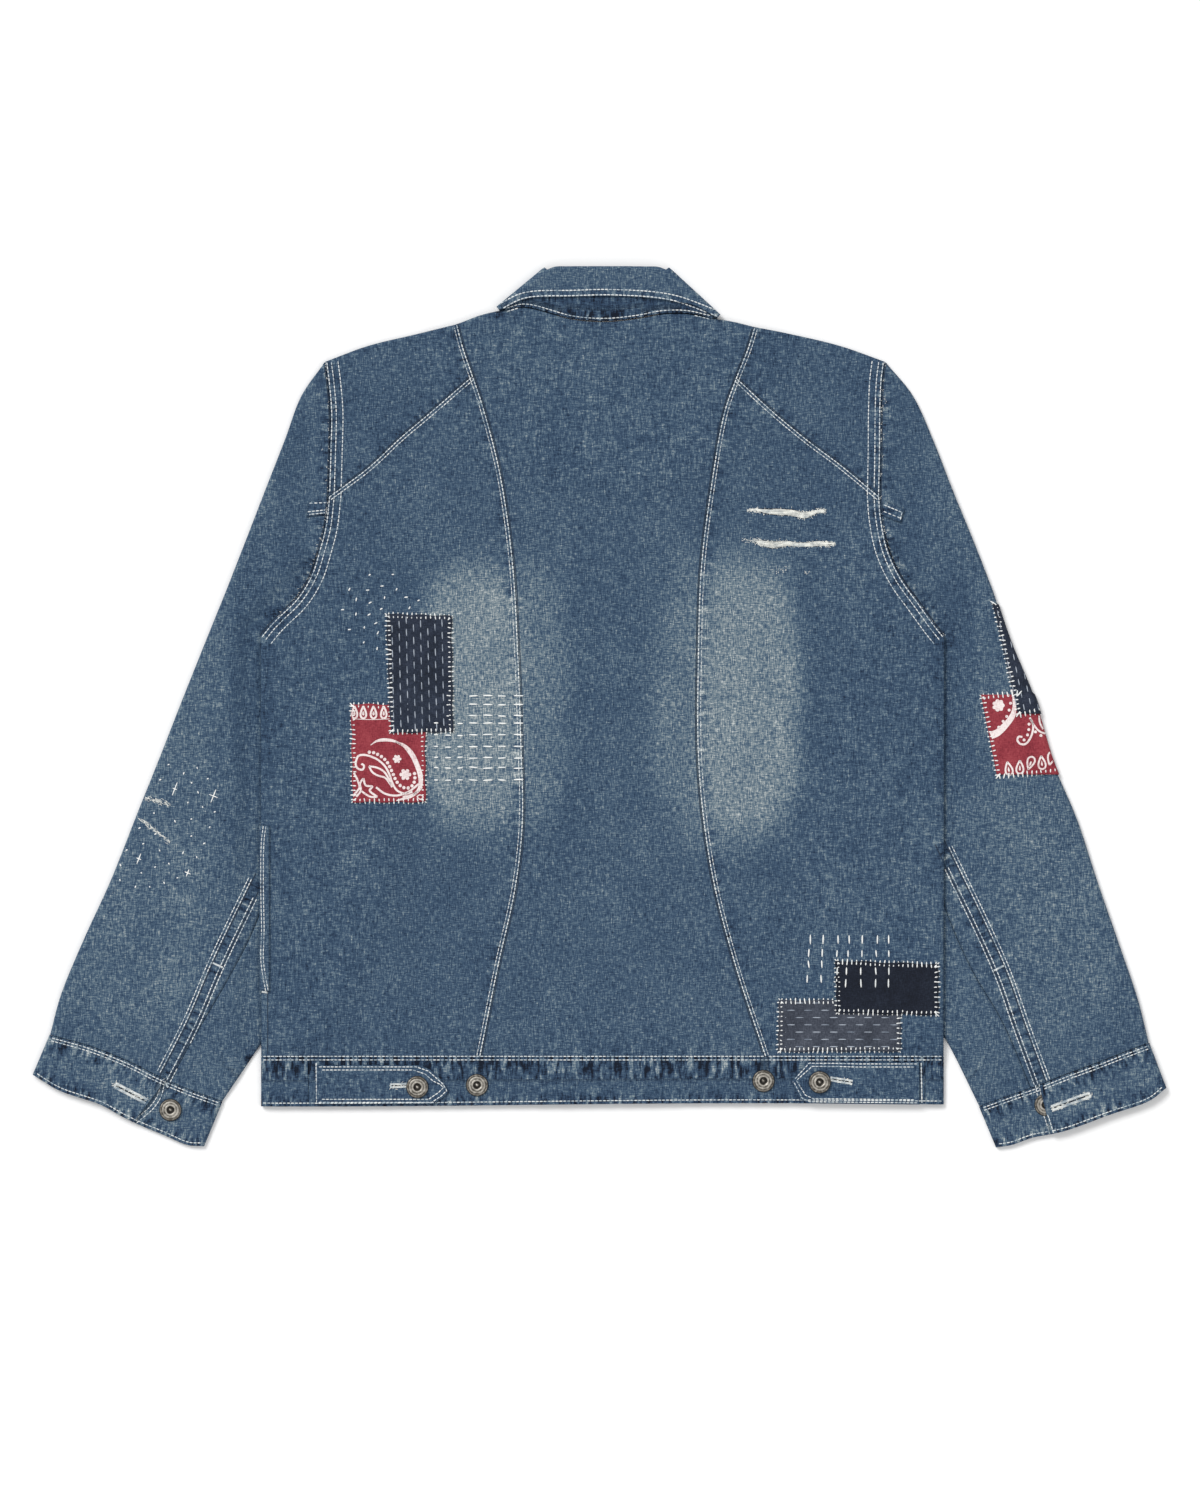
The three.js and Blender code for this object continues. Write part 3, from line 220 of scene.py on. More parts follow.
def wave(x, y):
    calm = (1 - sleeve_lift(x, y)) * smooth(-275, -215, y) * (1 - smooth(190, 250, y))
    return 0.45 * calm * np.sin(x / 41 + y / 90 + 0.6) * np.sin(y / 58 - x / 150)


def front_height(x, y):
    return FRONT_MID + SLEEVE_LIFTS[0] * sleeve_lift(x, y) + COLLAR_LIFTS[0] * collar_lift(x, y)


def back_height(x, y):
    lifted = SLEEVE_LIFTS[1] * sleeve_lift(x, y) + COLLAR_LIFTS[1] * collar_lift(x, y)
    return BACK_MID + lifted + CLOSURE_LIFT * closure_lift(x, y) + wave(x, y) + creases(x, y)


# Every seam and edge that leaves marks in the wash: its line, how strong they are, how far they reach,
# and on which side of it there are few of them
seam_lines = []
for side in SIDES.values():
    seam_lines += [(side["princess"], 0.9, 9, "inner"), (side["diagonal"], 0.7, 8),
                   (side["whole_armhole"], 0.9, 10), (side["cuff_top"], 1.5, 15, "above"),
                   (side["cuff_hem"], 1.4, 10), (side["back_seam"], 1.0, 10),
                   (side["shoulder_out"], 0.5, 5)]
seam_lines += [
    (np.array([(-288, WAIST_Y), (292, WAIST_Y)]), 1.7, 28, "above"),
    (np.array([(-288, HEM_Y), (292, HEM_Y)]), 1.2, 10),
    (curve([(-84, 337), (-63, 337), (-22, 327), (5, 325), (31, 327.6), (72, 331.5), (98, 328)]),
     1.6, 12, "below"),
    (curve(LEAF_EDGE), 0.9, 8),
]
SEAMS = []
SEAM_TREE = KDTree(40000)  # room for all their points
for number, (line, strength, reach, *clean_side) in enumerate(seam_lines):
    run = length_of(line)
    for share in even(int(run / 1.5)):
        x, y = at(line, share)
        SEAM_TREE.insert((x, y, 0), len(SEAMS))
        SEAMS.append((number * 1.37 + share * run * MM, strength, reach, clean_side))
SEAM_TREE.balance()

# Where the cloth is washed paler, and, with negative amounts, painted shade on the sleeves beside the
# body's sides and beside the armholes: centre, half sizes and how much
FADES_AND_SHADE = [(-90, 12, 66, 122, 0.13), (-108, 10, 46, 114, 0.12), (107, 10, 66, 134, 0.12),
         (124, 10, 48, 126, 0.12), (-384, -90, 60, 190, 0.045), (384, -90, 60, 190, 0.03),
         (-292, 20, 20, 105, -0.07), (296, 20, 20, 105, -0.07), (-258, 200, 15, 90, -0.06),
         (258, 200, 15, 90, -0.06)]


# Paler where the cloth is washed, darker where shade is painted: the sum of the table's amounts
def fades_and_shade_at(x, y):
    total = np.zeros(np.shape(x))
    for cx, cy, rx, ry, amount in FADES_AND_SHADE:
        reach = (np.abs((x - cx) / rx) ** 3 + np.abs((y - cy) / ry) ** 3) ** (1 / 3)
        total += amount * (1 - smooth(0.74, 1.14, reach))
    return total


def fill(left, right, bottom, top):
    """Points inside four edges. left and right run up, bottom and top run to the right."""
    def spread(line):
        reach = np.concatenate([[0], np.cumsum(np.linalg.norm(np.diff(line, axis=0), axis=1))])
        return reach / reach[-1]
    u = ((spread(bottom) + spread(top)) / 2)[None, :, None]
    v = ((spread(left) + spread(right)) / 2)[:, None, None]
    sides = (1 - u) * left[:, None] + u * right[:, None] + (1 - v) * bottom[None] + v * top[None]
    corners = ((1 - v) * ((1 - u) * bottom[0] + u * bottom[-1]) + v * ((1 - u) * top[0] + u * top[-1]))
    return sides - corners


def edged(grid, *edges, sewn=True, distances=(0, 0.45)):
    """Finishes the left, right, bottom or top edges of a grid. A sewn one moves in by half the gap that is
    left between sewn pieces. Each gets points at these distances from it."""
    for edge in edges:
        axes = (1, 0, 2) if edge in ("bottom", "top") else (0, 1, 2)
        direction = -1 if edge in ("right", "top") else 1
        turned = grid.transpose(axes)[:, ::direction].copy()
        if sewn:
            run = np.linalg.norm(turned[:, 1] - turned[:, 0], axis=1)[:, None]
            turned[:, 0] += (turned[:, 1] - turned[:, 0]) * (SEAM_GAP / 2) / run
        first, second = turned[:, 0], turned[:, 1]
        run = np.linalg.norm(second - first, axis=1)[:, None]
        added = [first + (second - first) * np.clip(d / run, 0, 0.9) for d in distances]
        turned = np.concatenate([np.stack(added, 1), turned[:, 1:]], 1)
        grid = turned[:, ::direction].transpose(axes)
    return grid


FOLD_DISTANCES = (0, 0.15, 0.65, 1.4, FOLD_RADIUS)


def turned_in(distance):
    """0 at a folded edge and 1 where the cloth lies flat."""
    rest = np.clip(1 - distance / FOLD_RADIUS, 0, 1)
    return np.sqrt(1 - rest * rest)


def normals_of(points, closed=False):
    if closed:
        around = np.concatenate([points[:, -1:], points, points[:, :1]], 1)
        across = around[:, 2:] - around[:, :-2]
    else:
        across = np.gradient(points, axis=1)
    normal = np.cross(across, np.gradient(points, axis=0))
    return normal / np.linalg.norm(normal, axis=2)[:, :, None]


SURFACES = []  # outer faces (points and quads) that later pieces are laid on
SURFACE_OF = {}  # the same by the piece's name


def mesh_of(name, points, faces):
    """A smooth mesh in metres, in the row's place, of points in millimetres."""
    mesh = bpy.data.meshes.new(name)
    mesh.from_pydata(((np.asarray(points) + CENTRING) * MM).tolist(), [], faces)
    mesh.shade_smooth()
    return mesh


def new_piece(name, mesh, material, nodes=()):
    mesh.materials.append(material)
    piece = bpy.data.objects.new(name, mesh)
    bpy.context.scene.collection.objects.link(piece)
    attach(piece, "root")
    if nodes:
        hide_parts(*nodes)
    return piece


def mark(mesh, seams, wash_and_shade):
    """Stores what the denim reads: the way along the nearest seam, the distance from it and how strongly
    it is worn, and how much the cloth is washed paler or darkened by painted shade."""
    mesh.attributes.new("seam", "FLOAT_VECTOR", "POINT").data.foreach_set("vector", seams.ravel())
    mesh.attributes.new("wash_and_shade", "FLOAT", "POINT").data.foreach_set("value", wash_and_shade)


def shell(name, points, thickness, material, nodes, up=(0.5, 0.5), shade=0.0, sign=1, normals=None):
    """A closed wall of cloth round a grid of points on its middle. up is a place in the grid where the
    outer face looks up (sign 1) or down (sign -1). The outer face is kept for what is laid on it."""
    rows, columns = points.shape[:2]
    normals = normals_of(points) if normals is None else normals
    probe = normals[int(up[0] * (rows - 1)), int(up[1] * (columns - 1)), 2]
    flip = probe * sign < 0
    if flip:
        normals = -normals
    outer = (points + normals * thickness / 2).reshape(-1, 3)
    index = np.arange(rows * columns).reshape(rows, columns)
    quads = np.stack([index[:-1, :-1], index[:-1, 1:], index[1:, 1:], index[1:, :-1]], -1).reshape(-1, 4)
    if flip:
        quads = quads[:, ::-1]
    mesh = mesh_of(name, outer, quads.tolist())
    # Nothing dips below the floor, on either face of the wall
    inner_z = outer[:, 2] - thickness * np.array([v.normal.z for v in mesh.vertices])
    outer[:, 2] += np.maximum(0, -np.minimum(inner_z, outer[:, 2]))
    for vertex, z in zip(mesh.vertices, outer[:, 2]):
        vertex.co.z = z * MM
    mesh.update()
    marks = np.zeros((len(outer), 3))
    for i, (x, y, z) in enumerate(outer):
        place, seam, distance = SEAM_TREE.find((x, y, 0))
        along, strength, reach, clean_side = SEAMS[seam]
        near = max(0.0, 1 - distance / (reach * 1.5))
        if "inner" in clean_side and abs(x - CENTRE_X) < abs(place[0] - CENTRE_X):
            near *= 0.35
        if "above" in clean_side and y > place[1] or "below" in clean_side and y < place[1]:
            near *= 0.3
        marks[i] = along, distance * MM, strength * near * near * (3 - 2 * near)
    # The upper faces get the table's washed fades and painted shade, and each piece its own tone
    mark(mesh, marks, fades_and_shade_at(outer[:, 0], outer[:, 1]) * (sign > 0) + shade)
    piece = new_piece(name, mesh, material, nodes)
    wall = piece.modifiers.new("thickness", "SOLIDIFY")
    wall.thickness = thickness * MM
    wall.offset = -1
    width = np.linalg.norm(np.diff(points, axis=1), axis=2).sum(1).max()
    height = np.linalg.norm(np.diff(points, axis=0), axis=2).sum(0).max()
    SURFACES.append((outer, quads))
    SURFACE_OF[name] = SURFACES[-1]
    return piece


def linear(code):
    """Linear colour, with alpha, of an sRGB hex value."""
    parts = [int(code[i:i + 2], 16) / 255 for i in (1, 3, 5)]
    return [c / 12.92 if c <= 0.04045 else ((c + 0.055) / 1.055) ** 2.4 for c in parts] + [1]


def node(tree, kind, inputs=None, **settings):
    """Adds a node with its settings. inputs maps a socket's name or number to a value, to a socket, or to
    a node whose first output it gets."""
    made = tree.nodes.new(kind)
    for key, value in settings.items():
        setattr(made, key, value)
    for key, value in (inputs or {}).items():
        if isinstance(value, bpy.types.Node):
            value = value.outputs[0]
        if isinstance(value, bpy.types.NodeSocket):
            tree.links.new(value, made.inputs[key])
        else:
            made.inputs[key].default_value = value
    return made


def grain(tree, place, size, turn=0.0, detail=2.0):
    """An uneven pattern whose grains are about size (in mm) each way."""
    mapped = node(tree, "ShaderNodeMapping", {"Vector": place, "Rotation": (0, 0, turn),
                  "Scale": [1 / (s * MM) for s in size]}, vector_type="POINT")
    return node(tree, "ShaderNodeTexNoise", {"Vector": mapped, "Scale": 1.0, "Detail": detail})


def weighted(tree, total, *signals):
    """A total, and to it each signal times its weight."""
    for signal, weight in signals:
        total = node(tree, "ShaderNodeMath", {0: signal, 1: weight, 2: total}, operation="MULTIPLY_ADD")
    return total


def finish(name, pattern, stops, roughness, specular=0.5, relief=None, metallic=0.0):
    """A material. From a place on the piece, pattern gives a shade, which picks a colour between the
    stops, and a height for the relief, whose strength and depth in metres are given."""
    material = bpy.data.materials.new(name)
    material.use_nodes = True
    tree = material.node_tree
    tree.nodes.clear()
    shade, height = pattern(tree, node(tree, "ShaderNodeTexCoord").outputs["Object"])
    ramp = node(tree, "ShaderNodeValToRGB", {0: shade})
    elements = ramp.color_ramp.elements
    for element, (position, code) in zip(elements, (stops[0], stops[-1])):
        element.position, element.color = position, linear(code)
    for position, code in stops[1:-1]:
        elements.new(position).color = linear(code)
    shader = node(tree, "ShaderNodeBsdfPrincipled", {
        "Base Color": ramp, "Roughness": roughness, "Specular IOR Level": specular, "Metallic": metallic})
    if relief:
        strength, depth = relief
        bump = node(tree, "ShaderNodeBump", {"Height": height, "Strength": strength, "Distance": depth})
        tree.links.new(bump.outputs[0], shader.inputs["Normal"])
    node(tree, "ShaderNodeOutputMaterial", {"Surface": shader})
    return material


def denim(name, turn=0.0):
    """Indigo cotton twill, washed pale: upright and level slubs of yarn, drawn about twice as coarse as
    real ones so that they show, soft mottling, and pale and dark marks where the seams were rubbed."""
    def pattern(tree, place):
        upright = grain(tree, place, (0.95, 5.5, 5), turn)
        level = grain(tree, place, (4.6, 0.95, 5), turn)
        fine = grain(tree, place, (0.75, 0.75, 5), turn, 1)
        mottle = grain(tree, place, (34, 46, 20), turn, 3)
        seam = node(tree, "ShaderNodeAttribute", attribute_name="seam").outputs["Vector"]
        # Paler where the cloth is washed, darker where shade is painted beside the body's sides and armholes
        wash_and_shade = node(tree, "ShaderNodeAttribute", attribute_name="wash_and_shade").outputs["Fac"]
        along, distance, strength = node(tree, "ShaderNodeSeparateXYZ", {0: seam}).outputs
        across = node(tree, "ShaderNodeCombineXYZ", {0: along, 1: distance})
        roping = weighted(tree, -1.026, (grain(tree, across, (4.2, 16, 5)), 1.9))
        roping = node(tree, "ShaderNodeMath", {0: roping, 1: strength}, operation="MULTIPLY")
        roping = node(tree, "ShaderNodeMath", {0: roping, 1: 0.22}, operation="MINIMUM")
        cloth = weighted(tree, -0.75, (upright, 0.9), (level, 0.84), (fine, 0.5), (mottle, 0.18), (wash_and_shade, 1))
        shade = node(tree, "ShaderNodeMath", {0: cloth, 1: roping}, operation="ADD", use_clamp=True)
        return shade, weighted(tree, 0.0, (upright, 0.5), (fine, 0.3), (roping, 1.6))

    stops = ((0.0, "#101826"), (0.26, "#283b52"), (0.5, "#3c5167"), (0.68, "#627480"), (0.82, "#858f93"),
             (1.0, "#b9bfbf"))
    return finish(name, pattern, stops, 0.92, 0.18, (0.55, 0.0007))


DENIM = denim("Washed denim")


def panel(name, grid, drop, layer, nodes, shade=0.0, rise=0.0):
    """Gives plan points of a body panel their height. drop is 1 at a folded edge."""
    x, y = grid[..., 0], grid[..., 1]
    top, low = back_height(x, y), front_height(x, y)
    half = drop * (top - low - SEAM_GAP) / 2
    z = top - half if layer == "back" else low + half + rise
    points = np.dstack([x, y, z])
    normals = normals_of(points)
    normals[..., 2] *= 1 - smooth(0.8, 1, drop)
    normals /= np.linalg.norm(normals, axis=2)[..., None]
    sign = 1 if layer == "back" else -1
    return shell(name, points, CLOTH, DENIM, nodes, sign=sign, shade=shade, normals=normals)


TURNS = 1 - turned_in(np.array(FOLD_DISTANCES))  # how far the cloth is turned in at each of them
ON_FOLD = slice(0, len(TURNS))
AT_TOP = slice(-1, -1 - len(TURNS), -1)
SIDE_STEPS, ARM_STEPS, YOKE_STEPS = 105, 44, 34
PRINCESS_AT_UNDERARM = 0.617
for side in SIDES.values():
    bottom = np.array([(side["sign"] * side["side_x"], WAIST_Y)])
    up_side = bottom + (side["armhole"][0] - bottom) * even(SIDE_STEPS)[:, None]
    side["edge"] = np.vstack([up_side, at(side["armhole"], even(ARM_STEPS))[1:]])
    side["edge_top"] = at(side["armhole_top"], even(YOKE_STEPS))
    low = PRINCESS_AT_UNDERARM * even(SIDE_STEPS)
    high = PRINCESS_AT_UNDERARM + (1 - PRINCESS_AT_UNDERARM) * even(ARM_STEPS)
    side["panel_seam"] = at(side["princess_low"], np.concatenate([low, high[1:]]))
    side["yoke_seam"] = at(side["princess_top"], even(YOKE_STEPS))

left, right = SIDES["left"], SIDES["right"]
NECK_BACK = curve([(-81, 334.5), (-63.2, 336.6), (-22.7, 326.6), (5, 324.6), (31.5, 327.3), (52.4, 331),
                   (71.9, 331.2), (96, 327)])
middle_top = np.vstack([at(left["shoulder_in"], even(12)), at(NECK_BACK, even(54))[1:],
                        at(right["shoulder_in"], even(10))[::-1][1:]])
middle_bottom = level_line(-100, 138.2, len(middle_top), WAIST_Y)
middle = fill(*(np.vstack([side["panel_seam"], side["yoke_seam"][1:]]) for side in (left, right)),
              middle_bottom, middle_top)
middle = edged(middle, "left", "right", "bottom")
middle = edged(middle, "top", sewn=False, distances=FOLD_DISTANCES)
drop = np.zeros(middle.shape[:2])
top_x = middle[-1, :, 0]
drop[AT_TOP] = TURNS[:, None] * np.maximum(1 - smooth(-81, -72, top_x), smooth(86, 95, top_x))
panel("back_middle", middle, drop, "back", ["back_center"])

# Back side panels, yokes and fronts
# Denim again. The side panels and yokes are sewn to the middle panel, and turn down at the side and
# shoulder folds to the fronts, which lie on the floor. As they lie, the right front is above the left
# one, which is outside when worn.
FRONT_OVERLAP = 15.0  # each front passes the centre by this much
SHOULDER_TIP_Y = 291.0
for name, side in SIDES.items():
    sign = side["sign"]
    side_end = side["panel_seam"][0, 0]

    count = 34
    waist = level_line(sign * side["side_x"], side_end, count + 1, WAIST_Y)
    grid = fill(side["edge"], side["panel_seam"], waist, at(side["diagonal"], even(count)))
    grid = edged(grid, "right", "bottom", "top")
    grid = edged(grid, "left", distances=FOLD_DISTANCES)
    drop = np.zeros(grid.shape[:2])
    drop[:, ON_FOLD] = (1 - smooth(80, 94, grid[:, :1, 1])) * TURNS
    panel(f"back_side_{name}_cloth", grid, drop, "back", [f"back_side_{name}"], -0.01)

    grid = fill(side["edge_top"], side["yoke_seam"], at(side["diagonal"], even(count)),
                at(side["shoulder_out"], even(count)))
    grid = edged(grid, "left", "right", "bottom")
    grid = edged(grid, "top", sewn=False, distances=FOLD_DISTANCES)
    drop = np.zeros(grid.shape[:2])
    drop[AT_TOP] = TURNS[:, None]
    panel(f"back_yoke_{name}_cloth", grid, drop, "back", [f"back_yoke_{name}"], -0.02)

    whole_edge = np.vstack([side["edge"], side["edge_top"][1:]])
    height = np.clip((whole_edge[:, 1] - UNDERARM_Y) / (SHOULDER_TIP_Y - UNDERARM_Y), 0, 1)
    front_edge = whole_edge.copy()
    front_edge[:, 0] -= sign * 9 * np.sin(math.pi * height)
    side["front_edge"] = front_edge
    shoulder = np.vstack([side["shoulder_out"], side["shoulder_in"][1:]])
    front_top = np.vstack([at(shoulder, even(26)), at(side["neck_front"], even(24))[1:]])
    rows = np.linspace(0, len(front_edge) - 1, 92).round().astype(int)
    centre_end = CENTRE_X - sign * FRONT_OVERLAP
    centre = np.stack([np.full(len(rows), centre_end), np.linspace(WAIST_Y, 250, len(rows))], -1)
    waist = level_line(sign * side["side_x"], centre_end, len(front_top), WAIST_Y)
    grid = fill(front_edge[rows], centre, waist, front_top)
    grid = edged(grid, "bottom")
    grid = edged(grid, "right", sewn=False)
    grid = edged(grid, "left", distances=FOLD_DISTANCES)
    grid = edged(grid, "top", sewn=False, distances=FOLD_DISTANCES)
    neck_start = abs(side["neck_front"][0, 0])
    top_x, top_y = grid[-1].T
    at_shoulder = smooth(neck_start - 9, neck_start - 1, np.abs(top_x)) * smooth(280, 288, top_y)
    drop = np.zeros(grid.shape[:2])
    drop[:, ON_FOLD] = (1 - smooth(80, 94, grid[:, :1, 1])) * TURNS
    drop[AT_TOP] = np.maximum(drop[AT_TOP], TURNS[:, None] * at_shoulder)
    rise = 1.6 * (1 - smooth(28, 60, grid[..., 0])) if sign > 0 else 0.0
    panel(f"front_{name}_cloth", grid, drop, "front", [f"front_{name}"], rise=rise)

# Sleeves
# Each sleeve is an upper and an under piece of denim that close a flat tube, sewn at the armhole and
# running in under the body. It has the wash's paler elbow, a valley beside the armhole and soft waves,
# with painted shade beside the armhole and along the body's side.
SLEEVE_FREE, SLEEVE_PRESSED = 5.5, 2.5
SEAM_AT_CUFF, SEAM_AT_ARMHOLE, LEAVING = 0.7, 0.92, 0.84
SLEEVE_DENIM = {
    name: denim(f"Washed denim of the {name} sleeve", side["turn"]) for name, side in SIDES.items()}


def armhole_path(edge, side):
    """Down the panel's own edge, and from the side's tuck_y on in under the body, by share w."""
    down = edge[::-1]
    sewn = down[down[:, 1] > side["tuck_y"]]
    under = np.vstack([sewn[-1:], side["hidden"]])
    return lambda w: np.where((w <= LEAVING)[..., None], at(sewn, np.clip(w / LEAVING, 0, 1)),
                              at(under, np.clip((w - LEAVING) / (1 - LEAVING), 0, 1)))


def blend(w, v, start, end, low, high, corners):
    """The point at w across and v along, inside four edges."""
    w, v = w[..., None], v[..., None]
    sides = (1 - w) * start + w * end + (1 - v) * low + v * high
    a, b, c, d = corners
    return sides - (1 - v) * ((1 - w) * a + w * b) - v * ((1 - w) * c + w * d)


for name, side in SIDES.items():
    sign, side_x, tuck_y = side["sign"], side["side_x"], side["tuck_y"]
    tip = len(side["edge"]) - ARM_STEPS - 1
    arm_back = armhole_path(np.vstack([side["edge"][tip:], side["edge_top"][1:]]), side)
    arm_front = armhole_path(side["front_edge"][tip:], side)
    cap_steps, arm_steps = 58, 118
    v = np.concatenate([even(cap_steps), even(arm_steps)[1:]])
    is_cap = np.arange(len(v)) <= cap_steps
    outer = np.vstack([at(side["outer_cap"], even(cap_steps)), at(side["outer_fold"], even(arm_steps))[1:]])
    inner = np.vstack([at(side["inner_cap"], even(cap_steps)), at(side["inner_fold"], even(arm_steps))[1:]])
    neck_outer, neck_inner = side["outer_fold"][0], side["inner_fold"][0]
    width = np.linalg.norm(outer - inner, axis=1)
    seam = SEAM_AT_ARMHOLE + (SEAM_AT_CUFF - SEAM_AT_ARMHOLE) * smooth(0, 0.55, v)
    seam = np.where(is_cap, SEAM_AT_ARMHOLE, seam)

    def plan(w, high):
        neck = neck_outer + (neck_inner - neck_outer) * w[..., None]
        path = arm_back if high else arm_front
        armhole = path(w)
        step = path(np.minimum(w + 0.01, LEAVING)) - path(np.maximum(w - 0.01, 0))
        step /= np.linalg.norm(step, axis=-1)[..., None] + 1e-9
        off = np.stack([-sign * step[..., 1], sign * step[..., 0]], -1) * SEAM_GAP * 1.25
        armhole = armhole + off * ((v == 0)[:, None] & (w <= LEAVING))[..., None]
        vv = np.broadcast_to(v[:, None], w.shape)
        o, i = outer[:, None], inner[:, None]
        tip_point = arm_back(np.array([0.0]))[0]
        cap = blend(w, vv, o, i, armhole, neck, (tip_point, inner[0], neck_outer, neck_inner))
        arm = blend(w, vv, o, i, neck, at(side["cuff_top"], w),
                    (neck_outer, neck_inner, side["cuff_top"][0], side["cuff_top"][-1]))
        return np.where(is_cap[:, None, None], cap, arm), armhole

    def sleeve_point(w, high, turned):
        xy, armhole = plan(w, high)
        x, y = xy[..., 0], xy[..., 1]
        vv = np.broadcast_to(v[:, None], w.shape)
        from_side = np.abs(x) - side_x
        corner = from_side * 0.72 + (y - UNDERARM_Y) * 0.69
        clear = smooth(9, 26, np.maximum(from_side, corner))
        clear = np.maximum(clear, smooth(tuck_y - 2, tuck_y + 20, y))
        free = SLEEVE_PRESSED + (SLEEVE_FREE - SLEEVE_PRESSED) * clear
        free = free + creases(x, y) * clear * smooth(0, 0.2, vv)
        across = np.abs(x) * 0.92 - y * 0.39
        waves = 0.35 * np.sin(y / 33 + across / 60) * smooth(0, 0.15, vv) * clear
        to_cuff = smooth(0.88, 1, vv) * (0.3 + 1.6 * smooth(0.6, 0.85, w)) * clear
        arm_high = free + waves - to_cuff
        valley = 1.1 * np.sin(math.pi * np.clip(vv / 0.56, 0, 1)) * (1 - smooth(0.55, 0.75, w))
        tucked = 1 - smooth(tuck_y + 1, tuck_y + 20, armhole[..., 1])
        seam_high = back_height(armhole[..., 0], armhole[..., 1]) * (1 - tucked) + SLEEVE_PRESSED * tucked
        fade = smooth(0, 0.7 - 0.48 * smooth(0.45, 0.75, w), vv)
        cap_high = seam_high * (1 - fade) + free * fade - valley
        upper = np.where(is_cap[:, None], cap_high, arm_high)
        seam_low = FRONT_MID + (front_height(armhole[..., 0], armhole[..., 1]) - FRONT_MID) * smooth(
            tuck_y + 4, tuck_y + 20, armhole[..., 1])
        lower = np.where(is_cap[:, None], seam_low + (FRONT_MID - seam_low) * smooth(0, 0.6, vv), FRONT_MID)
        half = (upper - lower) / 2 * turned
        return np.dstack([x, y, upper - half if high else lower + half])

    def column(w, high, turned=0.0):
        return sleeve_point(np.broadcast_to(np.asarray(w, float), (len(v),))[:, None], high, turned)

    edge = FOLD_RADIUS / width
    turns = [(d, 1 - turned_in(d)) for d in FOLD_DISTANCES]
    upper_piece = [column(seam + (edge - seam) * share, True) for share in even(44)[:-1]]
    upper_piece += [column(d / width, True, t) for d, t in turns[::-1]]
    upper_piece += [column(d / width, False, t) for d, t in turns[1:]]
    upper_piece += [column(edge + (LEAVING - edge) * share, False) for share in even(26)[1:]]
    inner_edge = 1 - edge
    under_piece = [column(LEAVING + (inner_edge - LEAVING) * share, False) for share in even(8)[1:]]
    under_piece += [column(1 - d / width, False, t) for d, t in turns[:-1][::-1]]
    under_piece += [column(1 - d / width, True, t) for d, t in turns[1:]]
    under_piece += [column(inner_edge + (seam - inner_edge) * share, True) for share in even(14)[1:-1]]
    ring = np.concatenate(upper_piece + under_piece, 1)
    with_normals = np.dstack([ring, normals_of(ring, closed=True)])
    join = len(upper_piece) - 1
    for kind, columns, up in (("upper", np.arange(join + 1), 0.1),
                              ("under", np.append(np.arange(join, ring.shape[1]), 0), 0.9)):
        grid = edged(with_normals[:, columns], "left", "right", distances=(0,))
        grid = edged(grid, "top")
        normals = grid[..., 3:] / np.linalg.norm(grid[..., 3:], axis=2)[..., None]
        node_name = f"sleeve_{kind}_{name}"
        shell(f"{node_name}_cloth", grid[..., :3], CLOTH, SLEEVE_DENIM[name], [node_name], up=(0.6, up),
              shade=0.03, normals=normals)

# Cuffs
# A doubled band of denim round the end of each sleeve, whose lapping end lies on its under end. Washing
# has left it pale, and ridged along both edges.
DOUBLE = 2.0  # thickness of two layers
CUFF_UNDERLAP = 3.4  # height of the middle of the cuff's under end
BAND_FRONT_MID = 1.0
for name, side in SIDES.items():
    rows = []
    seam_length = np.linalg.norm(side["cuff_top"][0] - side["cuff_top"][-1])
    round_share, tight, high = 3 / seam_length, 1.1 / seam_length, side["cuff_high"]
    for v in np.concatenate([[0, 0.012], even(12)[1:-1], [0.988, 1]]):
        end = side["cuff_end"][0] + (side["cuff_end"][1] - side["cuff_end"][0]) * v
        w = [end, end + (round_share - end) * 0.004]
        w += list(end + (round_share - end) * even(30)[1:])
        z = [high] * len(w)
        for angle in np.radians([60, 30, 0, -30, -60]):
            w.append(round_share * (1 - math.cos(angle)))
            z.append((high + BAND_FRONT_MID) / 2 + (high - BAND_FRONT_MID) / 2 * math.sin(angle))
        low = list(round_share + (1 - tight - round_share) * even(34))
        w += low
        z += [BAND_FRONT_MID] * len(low)
        for angle in np.radians([-45, 0, 45]):
            w.append(1 - tight * (1 - math.cos(angle)))
            half = (CUFF_UNDERLAP - BAND_FRONT_MID) / 2
            z.append(BAND_FRONT_MID + half + half * math.sin(angle))
        back = list(1 - tight + (end - 22 / seam_length - 1 + tight) * even(16))
        w += back
        z += [CUFF_UNDERLAP] * len(back)
        w, z = np.array(w), np.array(z)
        xy = at(side["cuff_top"], w) * (1 - v) + at(side["cuff_hem"], w) * v
        swell = 0.25 * np.sin(w * 90 + 3 * v) * (z > 5)
        rows.append(np.column_stack([xy, z + swell]))
    grid = edged(np.array(rows), "bottom", distances=(0,))
    shell(f"cuff_{name}_cloth", grid, DOUBLE, SLEEVE_DENIM[name], [f"cuff_{name}"], up=(0.5, 0.1),
          shade=0.05)

# Waistband
# A doubled band in three pieces: one across the back, and one on each side that wraps the side fold to
# the front. Its two edges are roped by washing.
BAND_BACK_MID = 4.9
CLOSURE_STEP = 2.35  # how far the right front's band lies over the left one's


def hem_y(x):
    return -332.3 + 1.4 * np.sin((x + 60) / 120)


